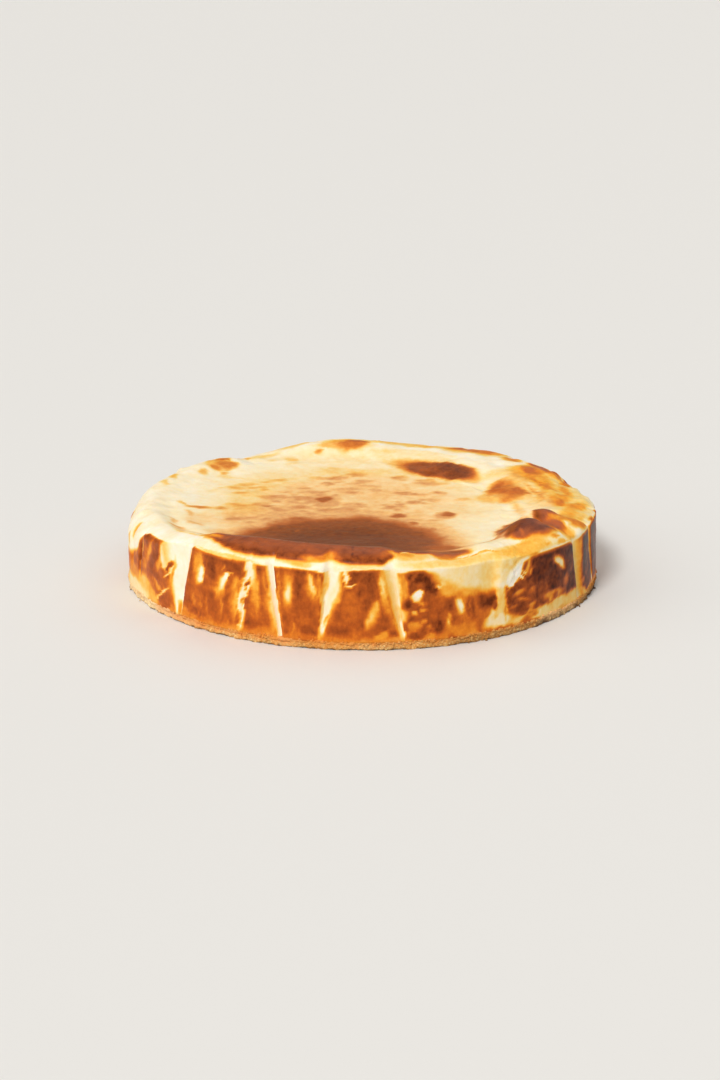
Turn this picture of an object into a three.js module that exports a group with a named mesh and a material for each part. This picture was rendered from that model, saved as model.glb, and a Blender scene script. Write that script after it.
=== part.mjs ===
// A Basque burnt cheesecake on a thin biscuit base, turned out of a round tin that was
// lined with crumpled parchment. The paper's folds press grooves into the wall, the rim
// puffs up and blisters in the oven, and the middle of the top sinks as it cools.
//
// Millimetres, +Z up. The origin is the centre of the biscuit base's underside.
// Angles are degrees round +Z from +X, so the cake's front is at -90.
import * as THREE from "three";

// ---- driving dimensions ----
const TIN_RADIUS = 129; // a 26 cm tin, less the paper
const BASE_HEIGHT = 4; // pressed biscuit crumbs
const SEAT_GAP = 0.3; // between the biscuit and the curd
const BASE_INSET = 0.6; // how far the biscuit stays inside the wall's foot
const FLOOR_HEIGHT = 41.5; // the sunken middle of the top
const FLOOR_SAG = 1.2; // how much lower its centre lies
const FOLD_TOP = 43; // the height at which a fold's top angle and width are given
const FOLD_FADE = 4; // a fold runs out over this height and half its width at its lower end
const FOLD_RUN = 12; // and over this distance across the shoulder
const FOLD_DROP = 0.3; // the share of its depth that it cuts downwards there
const FOLD_LEAN = 0.55; // how far a crisp fold's bottom lies from its middle, of half its width
const SHOULDER_POWER = 1.15; // 1 is an ellipse, 2 a straight bevel

// The wall: how far its foot and its top edge stand from the tin's radius, and the edge's height.
const WALL = [
  { at: -180, foot: 0.8, edge: 0.0, top: 31 },
  { at: -168, foot: 1.6, edge: 2.0, top: 31 },
  { at: -152, foot: -0.2, edge: 1.2, top: 38 },
  { at: -138, foot: -1.1, edge: 0.5, top: 43.5 },
  { at: -120, foot: -1.4, edge: 0.0, top: 43 },
  { at: -85, foot: -1.4, edge: 0.0, top: 43 },
  { at: -60, foot: -1.2, edge: 0.5, top: 42 },
  { at: -34, foot: -1.4, edge: 1.0, top: 41.5 },
  { at: -16, foot: -0.6, edge: -0.7, top: 40.5 },
  { at: 0, foot: -0.4, edge: -1.8, top: 39.5 },
  { at: 16, foot: -1.5, edge: -2.8, top: 36 },
  { at: 36, foot: -2.0, edge: -1.0, top: 40.5 },
  { at: 56, foot: -2.0, edge: -0.5, top: 41.5 },
  { at: 78, foot: -2.0, edge: -1.0, top: 40.5 },
  { at: 97, foot: -2.0, edge: -1.0, top: 42.5 },
  { at: 126, foot: -2.0, edge: -2.0, top: 36.5 },
  { at: 137, foot: -2.0, edge: -1.5, top: 39.5 },
  { at: 160, foot: -1.2, edge: -0.5, top: 35.5 },
];

// The puffed rim: its crest's radius and height, and the radius where its inner slope
// meets the sunken floor.
const RIM = [
  { at: -180, crest: 116, height: 43.5, floor: 104 },
  { at: -152, crest: 117, height: 44.5, floor: 108 },
  { at: -140, crest: 116, height: 46.5, floor: 102 },
  { at: -132, crest: 112, height: 49.5, floor: 97 },
  { at: -118, crest: 112, height: 52.0, floor: 93 },
  { at: -88, crest: 113, height: 51.5, floor: 92 },
  { at: -77, crest: 114, height: 48.0, floor: 92 },
  { at: -66, crest: 114, height: 45.0, floor: 92 },
  { at: -58, crest: 114, height: 47.5, floor: 93 },
  { at: -50, crest: 112, height: 46.5, floor: 92 },
  { at: -39, crest: 108, height: 52.3, floor: 88 },
  { at: -32, crest: 109, height: 47.3, floor: 86 },
  { at: -26, crest: 104, height: 50.0, floor: 84 },
  { at: -18, crest: 106, height: 45.8, floor: 78 },
  { at: 16, crest: 98, height: 45.0, floor: 70 },
  { at: 50, crest: 96, height: 46.0, floor: 66 },
  { at: 76, crest: 104, height: 44.8, floor: 80 },
  { at: 97, crest: 110, height: 47.3, floor: 92 },
  { at: 127, crest: 113, height: 40.8, floor: 98 },
  { at: 133, crest: 113, height: 43.5, floor: 98 },
  { at: 158, crest: 114, height: 44.5, floor: 102 },
];

// The paper's folds, as grooves in the wall: the angle at FOLD_TOP and at the foot, the
// width at both, the depth, which side is crisp (-1 clockwise end, 1 the other, 0 neither)
// and the height where the groove dies out.
const FOLDS = [
  { top: -163, foot: -165, wide: 12, narrow: 6, depth: 1.6, crisp: 0, dies: 14 },
  { top: -155.5, foot: -160, wide: 5, narrow: 2, depth: 1.6, crisp: 1, dies: 14 },
  { top: -139.5, foot: -140, wide: 27, narrow: 3, depth: 3.2, crisp: 1, dies: 2 },
  { top: -117.3, foot: -121.2, wide: 4.5, narrow: 2.5, depth: 1.4, crisp: 0, dies: 6 },
  { top: -112.3, foot: -109.7, wide: 5.5, narrow: 2.6, depth: 2.2, crisp: 1, dies: 0 },
  { top: -97, foot: -100.6, wide: 11.5, narrow: 1.5, depth: 3.4, crisp: -1, dies: 10 },
  { top: -84.6, foot: -80.9, wide: 10, narrow: 2, depth: 3.4, crisp: 1, dies: 6 },
  { top: -63, foot: -60, wide: 30, narrow: 6, depth: 2.4, crisp: 1, dies: 12 },
  { top: -52.5, foot: -56, wide: 7, narrow: 2, depth: 0.6, crisp: 0, dies: 22 },
  { top: -30.2, foot: -24.7, wide: 13, narrow: 8, depth: 3.0, crisp: -1, dies: 2 },
  { top: -21, foot: -14.5, wide: 5, narrow: 3, depth: 2.2, crisp: 0, dies: 8 },
  { top: -6, foot: -8, wide: 8, narrow: 2, depth: 2.4, crisp: 1, dies: 10 },
  { top: 8, foot: 11, wide: 12, narrow: 3, depth: 3.0, crisp: -1, dies: 4 },
  { top: 17, foot: 15.5, wide: 9, narrow: 3, depth: 3.2, crisp: 0, dies: 6 },
  { top: 29, foot: 32, wide: 7, narrow: 2, depth: 2.2, crisp: 1, dies: 12 },
  { top: 44, foot: 41, wide: 14, narrow: 3, depth: 3.0, crisp: 1, dies: 4 },
  { top: 60, foot: 61.5, wide: 8, narrow: 3, depth: 2.2, crisp: -1, dies: 10 },
  { top: 71, foot: 75, wide: 10, narrow: 2, depth: 3.0, crisp: -1, dies: 6 },
  { top: 86, foot: 85, wide: 6, narrow: 3.5, depth: 2.2, crisp: 1, dies: 0 },
  { top: 103, foot: 106, wide: 13, narrow: 2, depth: 3.2, crisp: 1, dies: 8 },
  { top: 127, foot: 124.5, wide: 10, narrow: 3, depth: 3.6, crisp: 0, dies: 2 },
  { top: 141, foot: 144, wide: 7, narrow: 2, depth: 2.2, crisp: -1, dies: 10 },
  { top: 152, foot: 150, wide: 14, narrow: 3, depth: 3.0, crisp: -1, dies: 6 },
  { top: 169, foot: 172, wide: 9, narrow: 3, depth: 2.4, crisp: 1, dies: 8 },
];

// Blisters on the top: where they stand, how long they are round the cake, how wide
// across the rim, and how high.
const BLISTERS = [
  { at: 50, out: 76, long: 15, wide: 8, rise: 2.2 },
  { at: 9, out: 80, long: 12, wide: 7, rise: 1.8 },
  { at: -39, out: 114, long: 12, wide: 6, rise: 1.2 },
  { at: -103, out: 117, long: 26, wide: 5, rise: 1.0 },
  { at: 28, out: 112, long: 14, wide: 8, rise: 1.0 },
  { at: 142, out: 116, long: 12, wide: 6, rise: 1.0 },
];

// ---- how finely the solid is cut into facets ----
const MOST_DEGREES = 2.4; // between neighbouring seams
const WALL_STEPS = 8;
const SHOULDER_STEPS = 5;
const SLOPE_STEPS = 5;
const FLOOR_STEPS = 3;
const BASE_COLUMNS = 96;

// ---- small helpers ----
const radians = THREE.MathUtils.degToRad;
const lerp = THREE.MathUtils.lerp;
const ease = (t) => THREE.MathUtils.smoothstep(t, 0, 1);
const turn = (degrees) => ((((degrees + 180) % 360) + 360) % 360) - 180;

// The values between two neighbouring stations of a table, eased, all the way round.
function around(stations, angle) {
  const here = turn(angle);
  let k = stations.length - 1;
  while (k > 0 && stations[k].at > here) k -= 1;
  const from = stations[k];
  const to = stations[(k + 1) % stations.length];
  const span = to.at > from.at ? to.at - from.at : to.at + 360 - from.at;
  const share = ease((here - from.at) / span);
  const between = {};
  for (const key of Object.keys(from)) between[key] = lerp(from[key], to[key], share);
  return between;
}

// How deep the folds cut at a height on the wall: each is a valley with an eased profile
// whose bottom lies nearer to its crisp side.
function foldDepth(angle, height) {
  let depth = 0;
  for (const fold of FOLDS) {
    const centre = lerp(fold.foot, fold.top, height / FOLD_TOP);
    const half = halfWidth(fold, height);
    const across = turn(angle - centre) / half;
    if (Math.abs(across) >= 1) continue;
    const bottom = FOLD_LEAN * fold.crisp;
    const side = across < bottom ? (across + 1) / (bottom + 1) : (1 - across) / (1 - bottom);
    depth += fold.depth * ease(side) * ease((height - fold.dies) / (FOLD_FADE + fold.wide / 2));
  }
  return depth;
}

// Half a fold's width at a height, in degrees round the tin.
function halfWidth(fold, height) {
  const width = lerp(fold.narrow, fold.wide, height / FOLD_TOP);
  return THREE.MathUtils.radToDeg(width / 2 / TIN_RADIUS);
}

// The height that the blisters add to the top at a place.
function blisterHeight(angle, radius) {
  let height = 0;
  for (const blister of BLISTERS) {
    const along = (blister.out * radians(turn(angle - blister.at))) / blister.long;
    const across = (radius - blister.out) / blister.wide;
    height += blister.rise * Math.exp(-(along ** 2) - across ** 2);
  }
  return height;
}

// The grid's upright seams, each given by its angle at FOLD_TOP and at the foot. Five follow
// each fold's edges, flanks and bottom, so that they lean and spread with it; the rest fill
// the gaps between folds.
function seams() {
  const given = [];
  for (const fold of FOLDS) {
    const bottom = FOLD_LEAN * fold.crisp;
    for (const across of [-1, (bottom - 1) / 2, bottom, (bottom + 1) / 2, 1]) {
      given.push({
        top: fold.top + across * halfWidth(fold, FOLD_TOP),
        foot: fold.foot + across * halfWidth(fold, 0),
      });
    }
  }
  const filled = [];
  given.forEach((seam, k) => {
    const lap = k + 1 < given.length ? 0 : 360;
    const next = given[(k + 1) % given.length];
    const pieces = Math.ceil((next.top + lap - seam.top) / MOST_DEGREES);
    for (let i = 0; i < pieces; i += 1) {
      filled.push({
        top: lerp(seam.top, next.top + lap, i / pieces),
        foot: lerp(seam.foot, next.foot + lap, i / pieces),
      });
    }
  });
  return filled;
}

// One seam of the curd, from the wall's foot to near the centre of the top, as rows of
// radius, angle and height.
function outline(seam) {
  const foot = BASE_HEIGHT + SEAT_GAP;
  const top = around(WALL, seam.top).top;
  const points = [];
  for (let i = 0; i <= WALL_STEPS; i += 1) {
    const height = lerp(foot, top, i / WALL_STEPS);
    const angle = lerp(seam.foot, seam.top, height / FOLD_TOP);
    const wall = around(WALL, angle);
    const radius = TIN_RADIUS + lerp(wall.foot, wall.edge, i / WALL_STEPS);
    points.push([radius - foldDepth(angle, height), angle, height]);
  }
  const angle = lerp(seam.foot, seam.top, top / FOLD_TOP);
  const rim = around(RIM, angle);
  const edge = TIN_RADIUS + around(WALL, angle).edge;
  const add = (radius, height) => {
    const cut = foldDepth(angle, top) * ease(1 - (edge - radius) / FOLD_RUN);
    const lift = blisterHeight(angle, radius) - FOLD_DROP * cut;
    points.push([radius - cut * (1 - FOLD_DROP), angle, height + lift]);
  };
  // The shoulder curves from the wall's edge up to the crest; the folds run out on it.
  for (let i = 1; i <= SHOULDER_STEPS; i += 1) {
    const swing = ((Math.PI / 2) * i) / SHOULDER_STEPS;
    const out = Math.cos(swing) ** SHOULDER_POWER;
    const up = Math.sin(swing) ** SHOULDER_POWER;
    add(lerp(rim.crest, edge, out), lerp(top, rim.height, up));
  }
  // The inner slope falls as half a cosine wave to the floor.
  for (let i = 1; i <= SLOPE_STEPS; i += 1) {
    const share = i / SLOPE_STEPS;
    const up = (1 + Math.cos(Math.PI * share)) / 2;
    add(lerp(rim.crest, rim.floor, share), lerp(FLOOR_HEIGHT, rim.height, up));
  }
  // The floor is a shallow bowl.
  for (let i = 1; i < FLOOR_STEPS; i += 1) {
    const share = 1 - i / FLOOR_STEPS;
    add(rim.floor * share, FLOOR_HEIGHT - FLOOR_SAG * (1 - share ** 2));
  }
  return points;
}

// Joins neighbouring outlines into one closed surface, with a fan at the bottom and at
// the top.
function closedSurface(outlines, bottom, top) {
  const rows = outlines[0].length;
  const positions = [];
  for (const [radius, angle, height] of outlines.flat()) {
    positions.push(radius * Math.cos(radians(angle)), radius * Math.sin(radians(angle)), height);
  }
  const low = positions.length / 3;
  positions.push(0, 0, bottom, 0, 0, top);
  const index = [];
  outlines.forEach((_, column) => {
    const here = column * rows;
    const next = ((column + 1) % outlines.length) * rows;
    for (let row = 0; row + 1 < rows; row += 1) {
      index.push(here + row, next + row, next + row + 1);
      index.push(here + row, next + row + 1, here + row + 1);
    }
    index.push(low, next, here);
    index.push(low + 1, here + rows - 1, next + rows - 1);
  });
  const geometry = new THREE.BufferGeometry();
  geometry.setAttribute("position", new THREE.Float32BufferAttribute(positions, 3));
  geometry.setIndex(index);
  geometry.computeVertexNormals();
  return geometry;
}

// ---- the two pieces ----
function curd() {
  const outlines = seams().map(outline);
  const geometry = closedSurface(outlines, BASE_HEIGHT + SEAT_GAP, FLOOR_HEIGHT - FLOOR_SAG);
  const material = new THREE.MeshStandardMaterial({ color: "#c98a45", roughness: 0.5, metalness: 0 });
  const mesh = new THREE.Mesh(geometry, material);
  mesh.name = "cheesecake";
  return mesh;
}

function biscuitBase() {
  const outlines = Array.from({ length: BASE_COLUMNS }, (_, i) => {
    const angle = (360 * i) / BASE_COLUMNS - 180;
    const radius = TIN_RADIUS + around(WALL, angle).foot - BASE_INSET;
    return [0, BASE_HEIGHT].map((height) => [radius, angle, height]);
  });
  const geometry = closedSurface(outlines, 0, BASE_HEIGHT);
  const material = new THREE.MeshStandardMaterial({ color: "#c9975c", roughness: 0.9, metalness: 0 });
  const mesh = new THREE.Mesh(geometry, material);
  mesh.name = "biscuit_base";
  return mesh;
}

const cake = new THREE.Group();
cake.add(biscuitBase(), curd());

export default cake;
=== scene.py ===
"""Looks for a Basque burnt cheesecake: its blistered curd, its crumbly biscuit base and
the crumbs round it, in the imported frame. Lengths are in millimetres and angles in degrees
round +Z from +X, as in the part's own source, until a mesh is written in metres."""
import math
from collections import namedtuple

import bpy
import numpy as np
from bpy.props import FloatProperty, FloatVectorProperty, IntProperty, PointerProperty
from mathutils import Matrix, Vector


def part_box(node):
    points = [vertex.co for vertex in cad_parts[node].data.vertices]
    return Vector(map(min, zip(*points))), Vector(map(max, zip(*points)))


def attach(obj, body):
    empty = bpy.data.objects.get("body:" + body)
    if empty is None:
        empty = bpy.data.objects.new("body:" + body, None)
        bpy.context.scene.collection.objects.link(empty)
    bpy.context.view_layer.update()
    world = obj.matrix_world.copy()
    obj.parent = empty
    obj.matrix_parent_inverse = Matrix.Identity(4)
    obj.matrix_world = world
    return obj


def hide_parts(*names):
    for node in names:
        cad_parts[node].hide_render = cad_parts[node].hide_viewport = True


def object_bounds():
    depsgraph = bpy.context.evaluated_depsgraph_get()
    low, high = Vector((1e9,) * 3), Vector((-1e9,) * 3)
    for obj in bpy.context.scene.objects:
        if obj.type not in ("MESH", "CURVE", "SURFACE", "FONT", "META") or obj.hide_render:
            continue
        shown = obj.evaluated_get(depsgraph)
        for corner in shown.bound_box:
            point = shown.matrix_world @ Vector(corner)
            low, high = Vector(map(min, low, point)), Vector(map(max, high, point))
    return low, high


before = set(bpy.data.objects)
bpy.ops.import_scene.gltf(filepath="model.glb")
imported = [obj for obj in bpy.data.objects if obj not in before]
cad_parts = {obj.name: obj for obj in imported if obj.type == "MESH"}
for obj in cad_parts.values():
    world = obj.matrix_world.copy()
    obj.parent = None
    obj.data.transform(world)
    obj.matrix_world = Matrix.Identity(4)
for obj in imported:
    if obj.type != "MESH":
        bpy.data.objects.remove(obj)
CAD_BOX = [list(corner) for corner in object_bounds()]
MM = 1000.0  # in a metre

bl_info = {
    "name": "Burnt Cheesecake",
    "version": (1, 0, 0),
    "blender": (4, 5, 0),
    "location": "View3D > Sidebar > Cheesecake",
    "description": "Builds a Basque burnt cheesecake around its packed frame",
    "category": "Add Mesh",
}

# ---- sizes that the part's source also has ----
TIN_RADIUS = 129.0
BASE_HEIGHT = 4.0
# How far the curd stands above the biscuit, and the biscuit in from the wall's foot.
SEAT_GAP = 0.3
BASE_INSET = 0.6
# The sunken floor: the height of its edge, and how much lower its middle lies.
FLOOR_HEIGHT = 41.5
FLOOR_SAG = 1.2
# The folds: the height where their tops are measured, the height over which they die out
# below, how far they run in over the shoulder, how much of their depth turns into a drop
# there and over what distance, and how far off the middle a crisp one's bottom lies.
FOLD_TOP = 43.0
FOLD_FADE = 4.0
FOLD_RUN = 12.0
FOLD_DROP = 0.3
DROP_RUN = 4.0
FOLD_LEAN = 0.55
# The power of the cosine and sine that give the shoulder's outline.
SHOULDER_POWER = 1.15

# ---- how finely the meshes are divided ----
# Rows of the curd on the wall, over the shoulder and down the inner slope.
CURD_ROWS = (44, 22, 14)
# The angle of the curd's first column, which meets a corner of the floor's square grid.
FIRST_COLUMN = -135.0
# The distance up the surface that stands for the floor: more than any on the rim.
FLOOR_UP = 200.0
# Angles of the columns of the base and of the bead above it.
FOOT_TURNS = -180.0 + 360.0 * np.arange(1800) / 1800
BASE_ROWS = 13
BEAD_ROWS = 8
CRUMB_TURNS = 8
CRUMB_TILTS = 5

# ---- where crumbs lie ----
# The height of the seam where the curd's browning turns sandy.
SEAM_HEIGHT = BASE_HEIGHT + 0.4
# How far in from the wall's foot the middle of the bead in the seam lies.
BEAD_INSET = 0.75
# The share of the loose crumbs that cling to the cake, and the heights they keep to.
CLING_SHARE = 0.97
CLING_HEIGHTS = (0.5, 6.4)

# ---- the stage ----
FLOOR_HALF = 8000.0
# The suns: azimuth and elevation, power, angular width and colour.
SUNS = {
    "key": (-112.0, 42.0, 1.95, 14.0, "#fffdf9"),
    "side": (-165.0, 38.0, 0.65, 60.0, "#fffefc"),
    "top": (35.0, 68.0, 0.85, 90.0, "#fffdfa"),
}
SKY_COLOUR = "#fbf7f0"
SKY_STRENGTH = 0.24
# The camera's place in metres, how far it looks down and how far it turns.
CAMERA_PLACE = (-0.0053, -1.3489, 0.4394)
CAMERA_DOWN = 17.29
CAMERA_TURN = -0.132
SENSOR_HEIGHT = 36.0


# ---- the cake's form, as tables ----
def stations(columns, rows):
    """A table of stations round the cake: an angle, and the columns that are named."""
    names = ("angle " + columns).split()
    return np.array(rows, [(name, float) for name in names])


# The wall: how far its foot and its top edge stand from the tin's radius, and the height of
# that edge.
WALL = stations("foot edge height", [
    (-180, 0.8, 0, 31), (-168, 1.6, 2, 31), (-152, -0.2, 1.2, 38), (-138, -1.1, 0.5, 43.5),
    (-120, -1.4, 0, 43), (-85, -1.4, 0, 43), (-60, -1.2, 0.5, 42), (-34, -1.4, 1, 41.5),
    (-16, -0.6, -0.7, 40.5), (0, -0.4, -1.8, 39.5), (16, -1.5, -2.8, 36), (36, -2, -1, 40.5),
    (56, -2, -0.5, 41.5), (78, -2, -1, 40.5), (97, -2, -1, 42.5), (126, -2, -2, 36.5),
    (137, -2, -1.5, 39.5), (160, -1.2, -0.5, 35.5),
])

# The puffed rim: its crest's radius and height, and the radius where its inner slope meets
# the sunken floor.
RIM = stations("crest height floor", [
    (-180, 116, 43.5, 104), (-152, 117, 44.5, 108), (-140, 116, 46.5, 102), (-132, 112, 49.5, 97),
    (-118, 112, 52, 93), (-88, 113, 51.5, 92), (-77, 114, 48, 92), (-66, 114, 45, 92),
    (-58, 114, 47.5, 93), (-50, 112, 46.5, 92), (-39, 108, 52.3, 88), (-32, 109, 47.3, 86),
    (-26, 104, 50, 84), (-18, 106, 45.8, 78), (16, 98, 45, 70), (50, 96, 46, 66), (76, 104, 44.8, 80),
    (97, 110, 47.3, 92), (127, 113, 40.8, 98), (133, 113, 43.5, 98), (158, 114, 44.5, 102),
])

# The parchment's folds: angle at FOLD_TOP and at the foot, width at both, depth, which side
# is crisp, the height where the groove dies out, and its look, by number.
Fold = namedtuple("Fold", "top foot wide narrow depth crisp dies look")
FOLDS = [Fold(*row) for row in [
    (-163, -165, 12, 6, 1.6, 0, 14, 0), (-155.5, -160, 5, 2, 1.6, 1, 14, 0),
    (-139.5, -140, 27, 3, 3.2, 1, 2, 3), (-117.3, -121.2, 4.5, 2.5, 1.4, 0, 6, 2),
    (-112.3, -109.7, 5.5, 2.6, 2.2, 1, 0, 3), (-97, -100.6, 11.5, 1.5, 3.4, -1, 10, 1),
    (-84.6, -80.9, 10, 2, 3.4, 1, 6, 1), (-63, -60, 30, 6, 2.4, 1, 12, 0),
    (-52.5, -56, 7, 2, 0.2, 0, 22, 2), (-30.2, -24.7, 13, 8, 3, -1, 2, 4),
    (-21, -14.5, 5, 3, 2.2, 0, 8, 1), (-6, -8, 8, 2, 2.4, 1, 10, 4), (8, 11, 12, 3, 3, -1, 4, 1),
    (17, 15.5, 9, 3, 3.2, 0, 6, 2), (29, 32, 7, 2, 2.2, 1, 12, 0), (44, 41, 14, 3, 3, 1, 4, 3),
    (60, 61.5, 8, 3, 2.2, -1, 10, 0), (71, 75, 10, 2, 3, -1, 6, 1), (86, 85, 6, 3.5, 2.2, 1, 0, 2),
    (103, 106, 13, 2, 3.2, 1, 8, 1), (127, 124.5, 10, 3, 3.6, 0, 2, 2),
    (141, 144, 7, 2, 2.2, -1, 10, 0), (152, 150, 14, 3, 3, -1, 6, 4), (169, 172, 9, 3, 2.4, 1, 8, 1),
]]
# The looks: as brown as the wall; covered by the paper and left pale, with its left
# flank painted golden as shade; pale and torn, with a ragged edge; pale cream throughout;
# and pale turning golden to the right.
BROWN, COVERED, TORN, CREAM, TURNING = range(5)

# Blisters on the top: angle, radius, half sizes along and across the rim, and height. The
# first six are the solid's too.
BLISTERS = [
    (50, 76, 15, 8, 2.2), (9, 80, 12, 7, 1.8), (-39, 114, 12, 6, 1.2), (-103, 117, 26, 5, 1),
    (28, 112, 14, 8, 1), (142, 116, 12, 6, 1),
    # smaller ones that the solid leaves out, and the dips between them
    (-152, 103, 28, 8, 1), (175, 100, 34, 9, 0.8), (135, 96, 20, 9, 0.6), (-26.5, 106, 6, 8, 0.9),
    (-31.5, 109, 2.6, 9, -0.6), (24, 118, 5, 4, 1.3), (17, 119, 3, 4, -0.8), (11, 120, 3.5, 4, 1.2),
    (4, 121, 3, 3, -0.6), (-1, 121, 3.5, 3, 1.1), (-8, 120, 5, 4, 0.9), (3, 104, 12, 4, 0.9),
    (36, 117, 4, 4, 1), (150, 123, 4, 3, 1.7), (157, 122, 3, 3, -1), (170, 122, 3.5, 3, 1.5),
    (-170, 123, 3, 3, 1.3), (4, 95, 12, 4, -0.7), (32, 104, 9, 4, 0.8), (55, 108, 8, 5, 0.7),
    (27, 123, 3, 3.5, 1.4), (22.6, 123.5, 2.2, 3.5, -1), (14.5, 124.5, 2.4, 3.5, 1.6),
    (11.6, 125, 1.6, 3.5, -1), (7, 125.5, 2.2, 3.5, 1.5), (4, 125.5, 1.5, 3.5, -0.9),
]

# ---- how the oven browned it ----
# A browning level runs from 0, pale curd, through 0.3, straw, 0.45, golden, 0.6, orange
# brown, and 0.8, brown, to 1, nearly black.
GOLD = 0.46
ORANGE = 0.55

# Where the brown skin of the wall stops below the pale shoulder: the height, measured up the
# wall and on over the shoulder, and how softly it stops.
SKIN_EDGE = stations("up soft", [
    (-180, 22, 4), (-166, 24, 5), (-160, 28, 4), (-154.6, 41, 1), (-153, 42.6, 1), (-144, 42.6, 1),
    (-142, 43, 1), (-134.3, 46.4, 1), (-132, 45, 1), (-129, 44.4, 1.2), (-124, 43.6, 1.6),
    (-120, 43.8, 2), (-115, 42.8, 1), (-104, 43, 1), (-99.4, 41.6, 0.8), (-93, 43.3, 0.8),
    (-87, 44, 0.8), (-82, 41.4, 1), (-77, 42.6, 1.4), (-74.5, 40.5, 4), (-71, 35.5, 9), (-68, 30.5, 10),
    (-64, 29.5, 10), (-60, 27.4, 6), (-56, 28, 3), (-54.5, 34, 2), (-51, 39, 2), (-47, 41.2, 1.5),
    (-35, 41, 1.2), (-30, 38.5, 2), (-25, 40.5, 1.5), (-15, 41.6, 1), (-4, 40, 1.5), (14, 36, 2),
    (24, 40, 1), (38, 33, 3), (52, 42, 1), (66, 39, 2), (82, 41.5, 1), (94, 36, 3), (104, 43, 1),
    (120, 35, 2), (132, 40, 1), (148, 38, 1.5), (158, 26, 4), (170, 30, 3),
])

# Where the dark skin of the front roll begins above the pale shoulder, or 90 where there is
# no roll.
ROLL_EDGE = stations("up", [
    (-180, 90), (-140, 90), (-134.8, 58), (-131.9, 55.6), (-129, 53.4), (-125, 50.4), (-121, 48.3),
    (-113, 48.5), (-107, 47.9), (-104, 47.8), (-100.6, 50), (-97, 48.4), (-92, 47.2), (-86, 47.2),
    (-83.8, 49), (-82, 54), (-80.6, 60), (-77.4, 70), (-74, 90),
])

# The biscuit: how pale it is, with less than 0 for toasted, how far the butter has soaked
# down, and how high the toasted lower edge reaches. Paleness and toast are partly painted
# light and shade: paler on the lit left, darker on the shaded right, with a pale patch near
# -35 for the greyer shade there, and the dark lower edge partly a painted contact shadow.
BISCUIT = stations("pale soaked edge", [
    (-180, 0.7, 0, 1), (-153, 1, 0.2, 0.8), (-146, 0.5, 0.7, 0.9), (-141, 0.2, 0.9, 1),
    (-134, 0.15, 0.7, 1.1), (-127, 0.1, 0.4, 1.2), (-112, 0, 0.4, 1.2), (-96, 0, 0.2, 1.2),
    (-84, 0.05, 0.1, 1.2), (-76, -0.1, 0.1, 1.2), (-66, -0.4, 0.1, 1.2), (-52, -0.4, 0, 1.2),
    (-48, -0.1, 0, 2), (-41, 0.45, 0, 3.2), (-30, 0.35, 0, 3.2), (-22, -0.8, 0, 2.6),
    (-12, -1.2, 0, 2.4), (0, -0.3, 0.1, 1.6), (10, 0.1, 0.3, 1.2), (60, 0.3, 0, 1.2),
    (110, 0, 0.4, 1.2), (150, 0.5, 0.1, 1),
])

# How brown the wall is between its marks.
WALL_LEVEL = stations("level", [
    (-180, 0.58), (-160, 0.62), (-150, 0.66), (-135, 0.7), (-110, 0.7), (-90, 0.72), (-74, 0.75),
    (-66, 0.6), (-60, 0.6), (-54, 0.8), (-48, 0.86), (-20, 0.9), (10, 0.84), (60, 0.76), (120, 0.78),
    (160, 0.7),
])

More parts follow.
